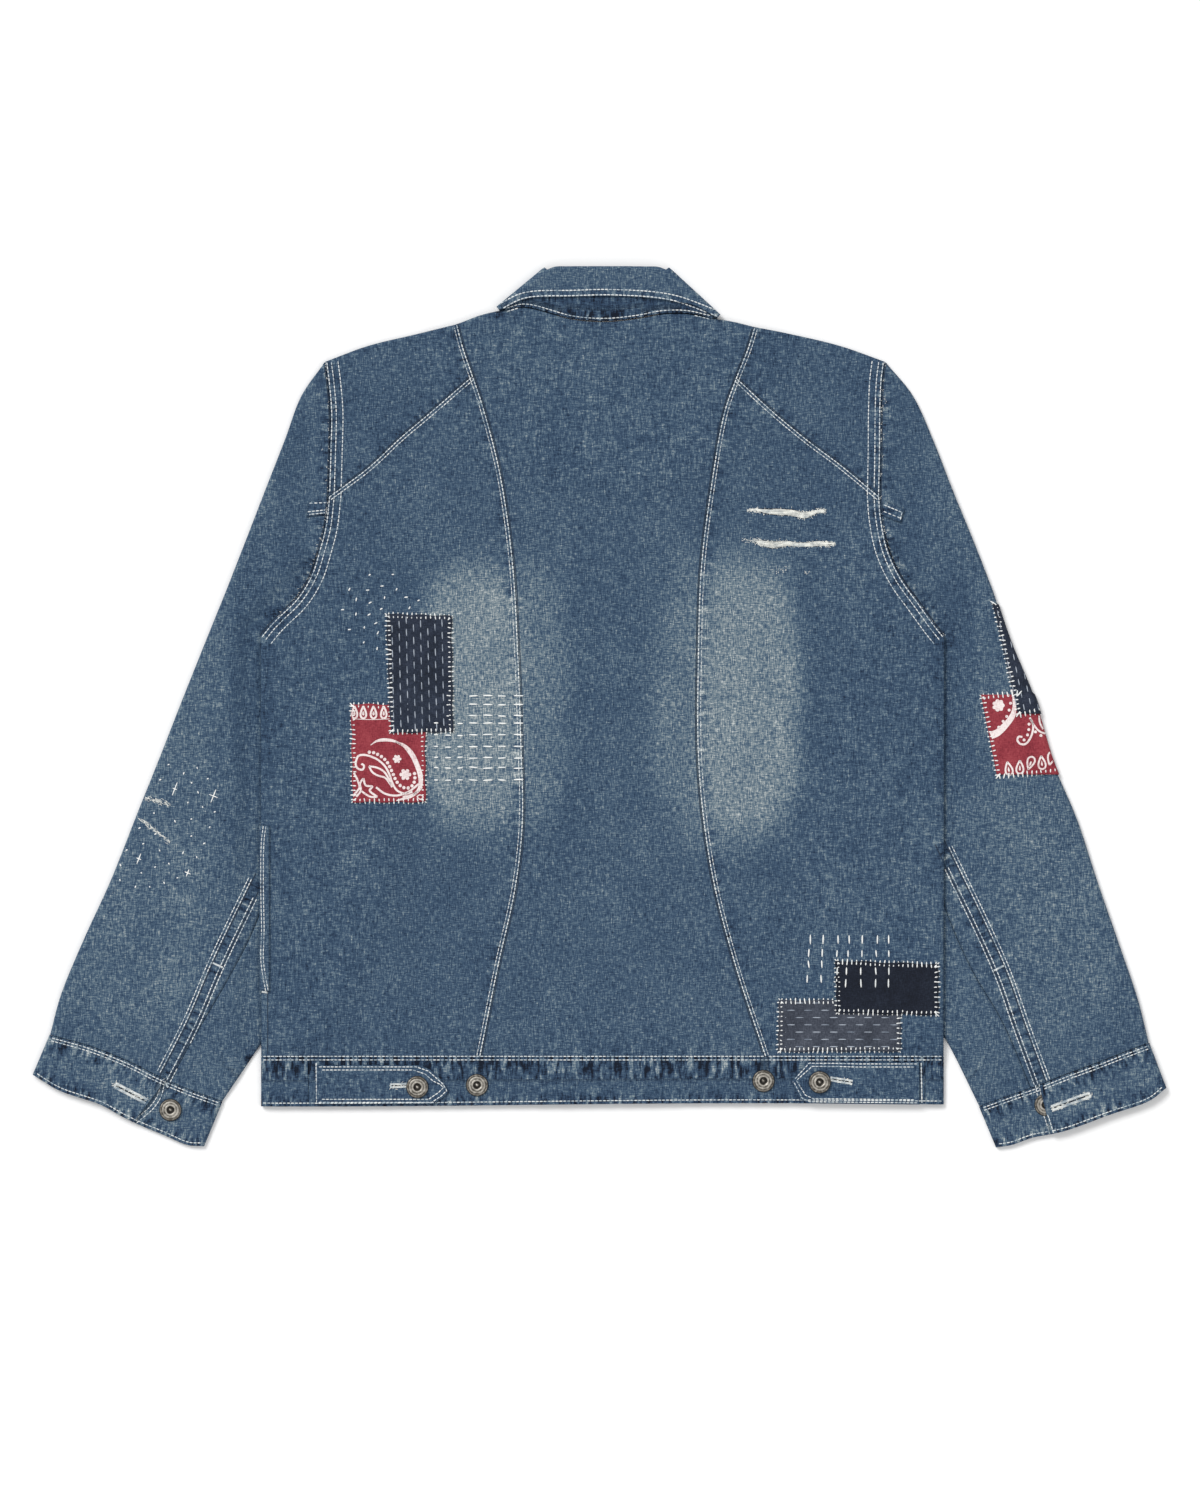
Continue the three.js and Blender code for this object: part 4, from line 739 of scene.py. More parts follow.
def band_back(x, y):
    at_edges = np.exp(-((y + 294) / 5) ** 2) + np.exp(-((y + 329) / 5) ** 2)
    roping = 0.22 * np.sin(x / 2.9 + 0.8 * np.sin(x / 17)) * at_edges
    return BAND_BACK_MID + SLEEVE_LIFTS[1] * sleeve_lift(x, y) + CLOSURE_LIFT * closure_lift(x, y) + roping


def band_front(x, y):
    return BAND_FRONT_MID + SLEEVE_LIFTS[0] * sleeve_lift(x, y)


def band_point(x, share, height):
    y = hem_y(x) + (WAIST_Y - SEAM_GAP / 2 - hem_y(x)) * share
    return x, y, height(x, y)


BAND_ROWS = np.concatenate([[0, 0.012], even(13)[1:-1], [0.988, 1]])
start, stop = left["band_seam_x"] + SEAM_GAP, right["band_seam_x"] - SEAM_GAP
stations = np.concatenate([[start, start + 0.45], np.linspace(start, stop, 178)[1:-1], [stop - 0.45, stop]])
grid = np.array([[band_point(x, share, band_back) for x in stations] for share in BAND_ROWS])
shell("waistband_back_cloth", grid, DOUBLE, DENIM, ["waistband_back"], shade=-0.02)

for name, side in SIDES.items():
    sign = side["sign"]
    fold_x = sign * (side["side_x"] - 0.4)
    end_x = CENTRE_X - sign * FRONT_OVERLAP

    def lower(x, y):
        return band_front(x, y) + (CLOSURE_STEP * (1 - smooth(28, 60, x)) if sign > 0 else 0)

    def between(share):
        return lambda x, y: band_front(x, y) + (band_back(x, y) - band_front(x, y)) * share

    seam_x, flat_x = side["band_seam_x"], fold_x - sign * FOLD_RADIUS
    path = [(seam_x, band_back), (seam_x + sign * 0.45, band_back)]
    path += [(x, band_back) for x in np.linspace(seam_x, flat_x, 12)[1:]]
    path += [(fold_x - sign * d, between(0.5 + turned_in(d) / 2)) for d in FOLD_DISTANCES[1:-1][::-1]]
    path += [(fold_x, between(0.5))]
    path += [(fold_x - sign * d, between(0.5 - turned_in(d) / 2)) for d in FOLD_DISTANCES[1:-1]]
    path += [(x, lower) for x in np.linspace(flat_x, end_x, 60)]
    grid = np.array([[band_point(x, share, height) for x, height in path] for share in BAND_ROWS])
    shell(f"waistband_{name}_cloth", grid, DOUBLE, DENIM, [f"waistband_{name}"], up=(0.5, 0.05),
          shade=-0.02)

# Collar
# The dark stand is sewn to the neck, and the pale doubled leaf is turned down over it. Both run from
# one front round the neck to the other, with a crease at each side of the neck.
STAND = 1.6
COLLAR_FRONT_Z, COLLAR_BACK_Z = FRONT_MID + COLLAR_LIFTS[0], BACK_MID + COLLAR_LIFTS[1]
LEAF_FRONT_Z = DOUBLE / 2
LEAF_BACK_Z = COLLAR_BACK_Z + STAND / 2 + 0.3 + DOUBLE / 2


def crease_stations(inner, outer, low_z, high_z, reach):
    """The half turn where the collar is folded from front to back."""
    along = np.subtract(outer, inner) / np.linalg.norm(np.subtract(outer, inner))
    push = np.array([(-1 if inner[0] < CENTRE_X else 1) * abs(along[1]), abs(along[0])]) * reach
    stations = []
    for angle in np.radians([-90, -50, 0, 50, 90]):
        z = (low_z + high_z) / 2 + (high_z - low_z) / 2 * math.sin(angle)
        stations.append([[*(np.array(end) + push * math.cos(angle)), z] for end in (inner, outer)])
    return stations


def raised(inner, outer, z):
    return [[[*a, z], [*b, z]] for a, b in zip(inner, outer)]


def collar_grid(stations, shares):
    ends = np.array(stations)
    first, last = curve(ends[:, 0], 6), curve(ends[:, 1], 6)
    return np.array([first + (last - first) * share for share in shares])


def neck_ends(side, roll):
    points = at(side["neck_front"], even(6))[1:6]
    ends = []
    for point, end in zip(points, roll):
        share = (SEAM_GAP + 0.2) / math.dist(point, end)
        ends.append(point + (np.array(end) - point) * share)
    return ends


roll_left = [(-39, 345), (-35, 322), (-28, 300), (-17, 282.5), (-3, 273.5)]
roll_right = [(52, 344), (48, 320), (42, 299), (31.5, 282.5), (16, 273.5)]
neck_back = [(-73, 336.3), (-62.6, 337), (-43, 332.4), (-22.7, 327.1), (5, 325.2), (31.5, 327.9),
             (52.4, 331.6), (71.9, 331.9), (86, 329.9)]
roll_back = [(-43.5, 368), (-38, 368.2), (-29, 368.4), (-17, 368.5), (5, 368.6), (28, 368.5), (39, 368.4),
             (48, 368.2), (54.5, 368)]
stations = [
    *raised(neck_ends(left, roll_left)[::-1], roll_left[::-1], COLLAR_FRONT_Z),
    *crease_stations((-80, 334.9), (-44.5, 365.8), COLLAR_FRONT_Z, COLLAR_BACK_Z, 1.4),
    *raised(neck_back, roll_back, COLLAR_BACK_Z),
    *crease_stations((95, 327.4), (55.5, 365.8), COLLAR_FRONT_Z, COLLAR_BACK_Z, 1.4)[::-1],
    *raised(neck_ends(right, roll_right), roll_right, COLLAR_FRONT_Z),
]
shares = np.concatenate([[0.012, 0.03], np.linspace(0.1, 0.95, 9), [1]])
shell("collar_stand_cloth", collar_grid(stations, shares), STAND, DENIM, ["collar_stand"], shade=-0.1)

stations = [
    *raised([(-3, 276), (-16, 284.5), (-30, 306), (-39, 340)],
            [(-70, 236), (-77, 256), (-83, 290), (-86, 318)], LEAF_FRONT_Z),
    *crease_stations((-45, 367.8), (-84.6, 335), LEAF_FRONT_Z, LEAF_BACK_Z, 2.6),
    *raised([(-37, 370.3), (-28, 370.5), (-14, 370.6), (5, 370.6), (24, 370.6), (38, 370.4), (48, 370.2)],
            [(-63, 344), (-43, 345.6), (-22.7, 346), (13.4, 346.6), (38.6, 345), (59.6, 342.4),
             (80.6, 338.3)],
            LEAF_BACK_Z),
    *crease_stations((56, 367.8), (98.6, 328.6), LEAF_FRONT_Z, LEAF_BACK_Z, 2.6)[::-1],
    *raised([(52, 338), (44, 305), (31, 285), (16, 276)],
            [(99.5, 312), (96, 285), (92, 254), (86, 236)], LEAF_FRONT_Z),
]
grid = collar_grid(stations, [1, 0.985, 0.93, 0.84, 0.72, 0.6, 0.48, 0.36, 0.24, 0.14, 0.07, 0.03, 0])
outward = normals_of(grid)[-1]
outward *= np.sign(outward[len(outward) // 2, 2])
grid = np.concatenate([grid, (grid[-1] - 1.05 * outward)[None]])
shell("collar_leaf_cloth", grid, DOUBLE, DENIM, ["collar_leaf"], shade=0.05)

# Waist tabs
# Two doubled denim tabs with pointed ends, sewn into the waistband's side seams and buttoned to it.
# Each is cut flat, with its upper rim rounded by the turned edge.
LAY_GAP = 0.22  # under what is laid on a finished piece
TABS = {
    "left": [(-237.7, -299), (-152.9, -299), (-142.8, -302.4), (-136, -308.3), (-130.2, -315),
             (-127.3, -321.7), (-131.5, -325.9), (-139.8, -331.6), (-237.7, -331.6)],
    "right": [(268, -296.5), (218.4, -296.5), (195, -296), (174, -296), (160.8, -312.8), (168.4, -328),
              (175, -331), (268, -332)],
}
TAB = 1.6  # a tab's thickness
OUTSIDE = 900  # a distance from which all faces are met from outside


class Ground:
    """The upper faces made so far, on which later pieces are laid. Heights are in millimetres."""

    def __init__(self, surfaces):
        vertices, faces, first = [], [], 0
        for points, quads in surfaces:
            vertices += points.tolist()
            faces += (np.asarray(quads) + first).tolist()
            first += len(points)
        self.tree = BVHTree.FromPolygons(vertices, faces)

    def reach(self, target, outward, missing=None):
        """How far the outermost face lies from target along outward."""
        hit = self.tree.ray_cast(Vector(target) + Vector(outward) * OUTSIDE, -Vector(outward))
        return missing if hit[3] is None else OUTSIDE - hit[3]

    def height(self, x, y, missing=None):
        return self.reach((x, y, 0), (0, 0, 1), missing)


def finished(bm, name, move):
    """The mesh of a shape made in millimetres, in its place and in metres."""
    bmesh.ops.translate(bm, vec=move, verts=bm.verts)
    bmesh.ops.scale(bm, vec=(MM, MM, MM), verts=bm.verts)
    mesh = bpy.data.meshes.new(name)
    bm.to_mesh(mesh)
    bm.free()
    return mesh


ground = Ground(SURFACES)
for name, outline in TABS.items():
    height = max(ground.height(x, y, 0) for x, y in outline) + LAY_GAP
    bm = bmesh.new()
    corners = [bm.verts.new((x, y, height)) for x, y in outline]
    face = bm.faces.new(corners)
    if face.normal.z > 0:
        face.normal_flip()
    top = bmesh.ops.extrude_face_region(bm, geom=[face])
    raised_corners = [v for v in top["geom"] if isinstance(v, bmesh.types.BMVert)]
    bmesh.ops.translate(bm, vec=(0, 0, TAB), verts=raised_corners)
    bmesh.ops.recalc_face_normals(bm, faces=bm.faces)
    rim = [e for e in bm.edges if all(v.co.z > height + 1 for v in e.verts)]
    bmesh.ops.bevel(bm, geom=rim, offset=0.6, segments=3, profile=0.5, affect="EDGES", material=-1)
    cap = max(bm.faces, key=lambda f: f.calc_center_median().z + f.calc_area() * 1e-6)
    bmesh.ops.triangulate(bm, faces=[cap])
    points = np.array([v.co[:] for v in bm.verts])
    SURFACES.append((points, [[v.index for v in f.verts][:3] for f in bm.faces if f.normal.z > 0.9]))
    mesh = finished(bm, f"waist_tab_{name}_cloth", CENTRING)
    seams = np.full((len(points), 3), (0, 0, 0.22))
    seams[:, 0] = (points[:, 0] + points[:, 1]) * MM
    mark(mesh, seams, np.full(len(points), -0.03))
    tab = new_piece(f"waist_tab_{name}_cloth", mesh, DENIM, [f"waist_tab_{name}"])

# Pocket edge
# The doubled denim edge of the left hand pocket's mouth. It is sewn along the side and goes round the
# body's side fold to the front.
def surface_of(*names):
    return [SURFACE_OF[name] for name in names]


def wrapped(name, ys, inner_x, surfaces, thickness, material, node_name, sign, flat_steps, angles, probe_z,
            middle_z):
    """Cloth that goes round a fold of the surfaces. Each row starts at inner_x(y) and goes out to the fold
    of that side (sign), which is found at probe_z, and round it by the angles, about middle_z."""
    under = Ground(surfaces)
    rows = []
    for y in ys:
        edge_x = sign * under.reach((0, y, probe_z), (sign, 0, 0))
        centre = np.array([edge_x - sign * (FOLD_RADIUS + CLOTH / 2 + 0.1), y, middle_z])
        clearance = LAY_GAP + thickness / 2
        start = inner_x(y)
        row = []
        for share in even(flat_steps)[:-1]:
            x = start + (centre[0] - start) * share
            row.append((x, y, under.height(x, y) + clearance))
        for angle in np.radians(angles):
            outward = np.array([sign * math.cos(angle), 0, math.sin(angle)])
            row.append(centre + outward * (under.reach(centre, outward) + clearance + 0.15))
        rows.append(row)
    points = np.array(rows)
    return shell(name, points, thickness, material, [node_name], up=(0.5, 0.05))


wrapped("pocket_edge_left", np.linspace(-237, -98, 46), lambda y: -277.4,
        surface_of("back_side_left_cloth", "front_left_cloth"), 1.2, DENIM, "pocket_welt_left", -1, 2,
        (84, 70, 55, 42, 32, 23, 14, -14), 6.4, 5.78)

# Patches
# Six pieces of old cloth: dark sashiko and plain cotton, and a red printed bandana. Four lie on the
# back's side panels and two go round the outer fold of the right sleeve.
PATCH = 1.0


def patch_cloth(name, dark, plain, pale):
    """Old plain-woven cotton: fine crossed threads, faded a little in places."""
    def pattern(tree, place):
        upright, level = grain(tree, place, (0.7, 3.2, 4)), grain(tree, place, (3.0, 0.7, 4))
        weave = weighted(tree, 0.0, (upright, 0.5), (level, 0.5))
        return weighted(tree, 0.0, (weave, 0.8), (grain(tree, place, (15, 19, 10)), 0.3)), weave

    return finish(name, pattern, ((0.36, dark), (0.54, plain), (0.76, pale)), 0.9, 0.2, (0.5, 0.0006))


INDIGO_CLOTH = patch_cloth("Dark indigo cotton", "#141922", "#232a38", "#3a4252")
BLACK_CLOTH = patch_cloth("Navy black cotton", "#0e1219", "#171c28", "#262d3a")
GREY_CLOTH = patch_cloth("Faded grey cotton", "#262a33", "#3b404b", "#565b66")
RED_CLOTH = patch_cloth("Red bandana cotton", "#611f28", "#86313b", "#a24a50")


def patch(name, corners, lower, material, *nodes):
    """Corners run bottom left, bottom right, top right, top left. The patch lies on the lower pieces."""
    bottom_left, bottom_right, top_right, top_left = (np.array(c, float) for c in corners)
    across = int(np.linalg.norm(bottom_right - bottom_left) / 1.6)
    up = int(np.linalg.norm(top_left - bottom_left) / 1.6)

    def line(a, b, steps):
        return a + (b - a) * even(steps)[:, None]

    plan = fill(line(bottom_left, top_left, up), line(bottom_right, top_right, up),
                line(bottom_left, bottom_right, across), line(top_left, top_right, across))
    # The edges wander a little, as they do where the cloth is turned under by hand.
    u, v = np.meshgrid(even(across), even(up))
    plan[..., 0] += 0.5 * np.sin(v * 21 + bottom_left[0]) * (np.abs(u - 0.5) * 2) ** 6
    plan[..., 1] += 0.5 * np.sin(u * 17 + bottom_left[1]) * (np.abs(v - 0.5) * 2) ** 6
    under = Ground(surface_of(*lower))
    z = np.array([[under.height(x, y, -1) for x, y in row] for row in plan])
    for _ in range(2 if len(lower) == 1 else 5):
        z = np.maximum(z, (np.roll(z, 1, 0) + np.roll(z, -1, 0) + np.roll(z, 1, 1) + np.roll(z, -1, 1)) / 4)
    edge = np.minimum(np.minimum(u, 1 - u) * across, np.minimum(v, 1 - v) * up)
    puff = 0.25 * np.exp(-((edge - 1.6) / 1.3) ** 2)
    puff += 0.12 * np.sin(plan[..., 0] / 5.3) * np.sin(plan[..., 1] / 6.1)
    points = np.dstack([plan, z + LAY_GAP + PATCH / 2 + puff])
    return shell(name, points, PATCH, material, nodes)


# Corners from the bottom left, the cloth, and what each lies on
PATCHES = {
    "patch_red_left": ([(-207.5, -78.1), (-146.6, -78.1), (-147, 3.4), (-208.7, 4.2)], RED_CLOTH,
                       ["back_side_left_cloth"]),
    "patch_indigo_left": ([(-175.6, -20.2), (-123.5, -19.3), (-124.7, 78.1), (-179.3, 79.8)], INDIGO_CLOTH,
                          ["back_side_left_cloth", "patch_red_left_cloth"]),
    "patch_grey_right": ([(149.5, -287.4), (252, -287), (252, -244.5), (150.4, -244.5)], GREY_CLOTH,
                         ["back_side_right_cloth"]),
    "patch_black_right": ([(198.7, -254.8), (283.8, -256.7), (283.8, -214.2), (197.7, -211.3)], BLACK_CLOTH,
                          ["back_side_right_cloth", "patch_grey_right_cloth"]),
}
for name, (corners, cloth, below) in PATCHES.items():
    patch(f"{name}_cloth", corners, below, cloth, name)


def slanted(a, b):
    return lambda y: a[0] + (b[0] - a[0]) * (y - a[1]) / (b[1] - a[1])


ROUND = (90, 76, 62, 50, 38, 26, 14, 2, -10)
wrapped("patch_red_sleeve_cloth", np.linspace(-55, 12, 42), slanted((320, 10.9), (333.5, -57.5)),
        surface_of("sleeve_upper_right_cloth"), PATCH, RED_CLOTH, "patch_red_sleeve", 1, 26, ROUND, 3, 3)
wrapped("patch_dark_sleeve_cloth", np.linspace(-4, 88, 58), slanted((329.7, 90.3), (351, -5.9)),
        surface_of("sleeve_upper_right_cloth", "patch_red_sleeve_cloth"), PATCH, INDIGO_CLOTH,
        "patch_dark_sleeve", 1, 12, ROUND, 3, 3)

# The free ends of the yoke seams' felled strips, caught down past the armholes
patch("yoke_seam_end_left", [(-246, 161.5), (-229, 163.5), (-228, 174.5), (-244.5, 174)],
      ["sleeve_upper_left_cloth"], DENIM)
patch("yoke_seam_end_right", [(236, 163), (252, 156.5), (255.5, 167.6), (238.5, 174.6)],
      ["sleeve_upper_right_cloth"], DENIM)

# Topstitching
# Off-white cotton thread, worn grey and blue in places: double rows along every felled seam, rows at
# the hem, cuffs, collar and tabs. Each stitch is a small rounded bead of thread laid in the cloth.
def thread(name, pale, worn):
    """Spun cotton, dull and lightly twisted, whose worn lengths take up the denim's colour."""
    def pattern(tree, place):
        return grain(tree, place, (6, 6, 6)), grain(tree, place, (0.5, 0.5, 0.5), 0.0, 1)

    return finish(name, pattern, ((0.34, worn), (0.56, pale)), 0.75, 0.25, (0.4, 0.0003))


PIXEL = 0.84  # millimetres to a pixel of the photograph
TOPSTITCH = thread("Off-white topstitching thread", "#dfe3e2", "#93a3ae")
WHITE_THREAD = thread("White mending thread", "#eeefec", "#d6dada")

bead = bmesh.new()
bmesh.ops.create_uvsphere(bead, u_segments=6, v_segments=5, radius=0.5)
bmesh.ops.rotate(bead, matrix=Matrix.Rotation(math.pi / 2, 3, "Y"), verts=bead.verts)
BEAD = np.array([v.co[:] for v in bead.verts])
BEAD[:, 0] = np.sign(BEAD[:, 0]) * 0.5 * (np.abs(BEAD[:, 0]) * 2) ** 0.7
BEAD_FACES = [[v.index for v in f.verts] for f in bead.faces]
bead.free()


def sew(name, stitches, material, sunk=0.12):
    """One mesh of stitches, each (x, y, angle, length, width) in plan, laid on what is uppermost."""
    points, faces = [], []
    for x, y, angle, length, width in stitches:
        reach = np.array([math.cos(angle), math.sin(angle)]) * length / 2
        low, high = ground.height(x - reach[0], y - reach[1]), ground.height(x + reach[0], y + reach[1])
        if low is None or high is None or abs(high - low) > 2.5:
            continue
        along = np.array([*(2 * reach), high - low]) / length
        across = np.array([-math.sin(angle), math.cos(angle), 0])
        centre = np.array([x, y, (low + high) / 2 + width * (0.32 - sunk)])
        lifted = BEAD[:, :1] * along * length + BEAD[:, 1:2] * across * width
        lifted[:, 2] += BEAD[:, 2] * width * 0.75
        faces += [[i + len(points) * len(BEAD) for i in face] for face in BEAD_FACES]
        points.append(centre + lifted)
    return new_piece(name, mesh_of(name, np.concatenate(points), faces), material)


def pixels(x, y):
    """A place in the plan from a place in the photograph."""
    return (x - 600) * PIXEL, (709 - y) * PIXEL


def left_of(line):
    """Steps of one millimetre to the left of a line, from each of its points."""
    step = np.gradient(line, axis=0)
    step /= np.linalg.norm(step, axis=1)[:, None] + 1e-9
    return np.stack([-step[:, 1], step[:, 0]], -1)


def beside(line, distance):
    line = np.asarray(line, float)
    return line + left_of(line) * distance


def row_of(line, pitch=3.3, length=2.9, width=0.95, start=0.0, stop=1.0):
    line = np.asarray(line, float)
    total = length_of(line)
    count = max(1, int(total * (stop - start) / pitch))
    places = start + (stop - start) * (np.arange(count) + 0.5) / count
    before, after = at(line, np.maximum(places - 1 / total, 0)), at(line, np.minimum(places + 1 / total, 1))
    middle = at(line, places)
    angles = np.arctan2(*(after - before).T[::-1])
    return [(x, y, a, length, width) for (x, y), a in zip(middle, angles)]


BAND_ENDS = (-283, 287)  # of the rows along the waistband
ground = Ground(SURFACES)
rows = []
for name, side in SIDES.items():
    out = -side["sign"]
    for distance, width in ((1.0, 1.05), (3.5, 0.7)):
        rows += row_of(beside(side["princess"], out * distance), width=width)
        rows += row_of(beside(side["diagonal"], -out * (distance - 0.1)), stop=0.985)
    for distance in (1.2, 5.0, 10.6):  # three rows round the armhole
        rows += row_of(beside(side["whole_armhole"], out * -distance))
    for distance in (-8.2, -5.6, 2.4, 5.6):  # two rows on each side of the sleeve's vent
        rows += row_of(beside(side["back_seam"], out * distance), start=0.03 if distance < 0 else 0.1)
    for line, distance in (("cuff_top", 2.0), ("cuff_top", 4.4), ("cuff_hem", -2.6)):
        rows += row_of(beside(side[line], -out * distance), start=0.01, stop=0.99)
for y in (-291.6, -294.6):
    rows += row_of([(x, y) for x in BAND_ENDS])
rows += row_of([(x, hem_y(x) + 2.8) for x in np.linspace(*BAND_ENDS, 80)])
for x in (-238.2, 269.6):  # where the tabs are sewn into the side seams
    rows += row_of([(x, -297), (x + 0.6, -331)], 3.0, 3.1, 1.3)
# The cuffs' rounded ends
for end, sign in (([(166.6, 1082), (162.7, 1097), (155, 1109), (137.8, 1124)], -1),
                  ([(1033.6, 1084.8), (1038.5, 1108), (1043.3, 1119), (1048.2, 1134.5)], 1)):
    end = curve([pixels(x, y) for x, y in end])
    for distance in (1.3, 4.4):
        rows += row_of(beside(end, sign * distance))
neck_line = curve([(-78, 333), (-63.2, 336.2), (-22.7, 326.1), (5, 324.2), (31.5, 326.8), (52.4, 330.6),
                   (71.9, 330.8), (92, 326.6)])
for distance in (0.7, 5.2):
    rows += row_of(beside(curve(LEAF_EDGE), distance), width=1.1)
for distance in (0.6, 3.6):
    rows += row_of(beside(neck_line, distance))
for outline in TABS.values():
    ring = np.array(outline, float)
    middle = ring.mean(0)
    for inset in (1.4, 4.0):
        shrunk = ring + (middle - ring) * np.minimum(inset / np.abs(middle - ring).clip(4), 0.6)
        rows += row_of(shrunk)
# The free ends of the yoke seams' strips
for line in ([(-246, 163), (-229, 164.8)], [(-245.6, 165.4), (-228.8, 167.2)],
             [(-244.5, 172.6), (-228.5, 173.2)], [(237.5, 166), (252.5, 160)], [(238, 171.4), (253.4, 165)],
             [(252, 158.5), (253.6, 165.5)]):
    rows += row_of(line, width=1.05)
pocket_line = curve([(-282.5, -98), (-284.2, -113), (-284.6, -152), (-284, -185), (-284.6, -210),
                     (-283, -223), (-280.5, -237)])
for distance in (0, 2.2):
    rows += row_of(beside(pocket_line, distance), width=0.8)
sew("topstitching", rows, TOPSTITCH)

# Mending stitches
# White thread sewn by hand: whip stitches over the patches' edges, running stitches beside them, small
# dots, and crosses on the left sleeve.
def whip(corners, sides, seed, pitch=3.9, length=5.2, width=1.3):
    """Stitches across the edges of a patch, leaning and spaced by hand."""
    rng = np.random.default_rng(seed)
    made = []
    corners = np.array(corners, float)
    for k in sides:
        a, b = corners[k], corners[(k + 1) % len(corners)]
        run = np.linalg.norm(b - a)
        angle = math.atan2(*(b - a)[::-1]) + math.pi / 2
        for share in (np.arange(int(run / pitch)) + 0.5) / int(run / pitch):
            x, y = a + (b - a) * share
            inward = np.array([math.cos(angle), math.sin(angle)]) * 0.7
            lean = rng.normal(0, 0.13)
            made.append((x + inward[0], y + inward[1], angle + lean, length * rng.uniform(0.8, 1.15),
                         width))
        made.append((*(a + (corners.mean(0) - a) * 0.03), angle - math.pi / 4, length * 1.2, width))
    return made


# Where the upper patch of a pair covers the lower one's edge, from x to x and above y, nothing is sewn.
COVERED = {"patch_red_left": (-178, -120, -22), "patch_grey_right": (196, 999, -258)}
hand = []
for seed, (name, (corners, _, _)) in enumerate(PATCHES.items(), 2):
    x0, x1, y0 = COVERED.get(name, (0, 0, 0))
    hand += [s for s in whip(corners, range(4), seed) if not (x0 < s[0] < x1 and s[1] > y0)]
hand += whip([(333.5, -57.5), (384, -53), (378, -8), (352, 14), (320, 10.9)], [0, 3, 4], 6)
hand += whip([(351, -5.9), (371, -2), (331, 92), (329.7, 90.3)], [0, 3], 7)

# Nine level rows beside the red patch, and seven upright ones that run over the black patch's edge
rng = np.random.default_rng(11)
for number, y in enumerate((696, 704.8, 715.4, 723.3, 735, 746.6, 757.7, 768, 780)):
    dashes = [(434.5, 438), (457.7, 462.7), (469.3, 477.6), (483.4, 492.5), (498.3, 505.8), (514, 523.2)]
    if number > 3:
        dashes.insert(1, (445.3, 451))
    if number < 3:
        dashes = dashes[2:] + [(447, 453)]
    for x0, x1 in dashes:
        (a, b), (c, _) = pixels(x0, y), pixels(x1, y)
        hand.append(((a + c) / 2, b + rng.normal(0, 0.3), rng.normal(0, 0.05), c - a + 0.8, 1.35))
for number, (top_x, low_x) in enumerate((
        (809.6, 806.7), (822.8, 820.5), (838, 836), (848.6, 845.2), (862.2, 860.4), (877, 874.3),
        (888.3, 888.6))):
    spans = [(934.8, 944), (949, 956.6), (960.6, 967.5), (975, 982.4)]
    if number > 1:
        spans = [(935.3, 943.4), (950.3, 956.6), (967.5, 974.4), (979, 987)]
    for y0, y1 in spans:
        (a, b), (_, c) = pixels(top_x + (low_x - top_x) * (y0 - 935) / 50, y0), pixels(top_x, y1)
        hand.append((a + rng.normal(0, 0.25), (b + c) / 2, math.pi / 2 + rng.normal(0, 0.05),
                     abs(b - c) + 0.8, 1.35))

DOTS_NEAR_PATCH = [(369.8, 575), (393, 574.6), (382.2, 586.2), (349.6, 589.5), (367.8, 590.3),
                   (396.7, 589.5), (384.7, 597.8), (406.3, 597.3), (418.7, 600.6), (356.5, 599.5),
                   (370.3, 602.8), (342.9, 609.8), (381.4, 609), (409.6, 608), (356.2, 614.2),
                   (369.3, 614.7), (376, 623.3), (349.6, 629.7), (364.5, 627.5), (378, 633), (364, 642.4),
                   (377.3, 648.7)]
for x, y in DOTS_NEAR_PATCH:
    hand.append((*pixels(x, y), rng.choice([0.5, 1.4, 0.1, 1.1]), rng.uniform(2.0, 3.4), 1.2))
DOTS_ON_SLEEVE = [(168.9, 764.6), (184.1, 773.3), (197.5, 767.9), (208.1, 778.7), (160.6, 779.7),
                  (192, 782.8), (198.4, 792.3), (188.2, 802.5), (202.9, 807), (215.1, 811.8),
                  (154.4, 813.1), (175.3, 821.2), (191.7, 819), (210.1, 827.2), (139.9, 828),
                  (155.8, 834), (191.7, 836), (204.6, 843.3), (143.6, 843.7), (160, 850.4),
                  (183.4, 852.7), (197.1, 857), (169.3, 863.6), (155.5, 867), (141.7, 872.8),
                  (177.8, 877.7), (164.5, 882.7), (135.8, 886.7), (150.1, 886.7), (127, 850),
                  (120.8, 865), (120.4, 880)]
for x, y in DOTS_ON_SLEEVE:
    hand.append((*pixels(x, y), rng.choice([0.4, 1.2, 1.9]), rng.uniform(1.5, 2.5), 1.2))
# Crosses, from a long stitch and a short one
for x, y, long_arm, short_arm in ((175.1, 788.9, 15, 5), (213.7, 796, 15, 10), (139.2, 858.7, 12, 5.4),
                                  (188, 872.8, 8, 7)):
    hand.append((*pixels(x, y), math.atan2(0.92, 0.36), long_arm * PIXEL, 1.0))
    hand.append((*pixels(x, y), math.atan2(-0.36, 0.92), short_arm * PIXEL, 1.0))
sew("hand_stitches", hand, WHITE_THREAD)

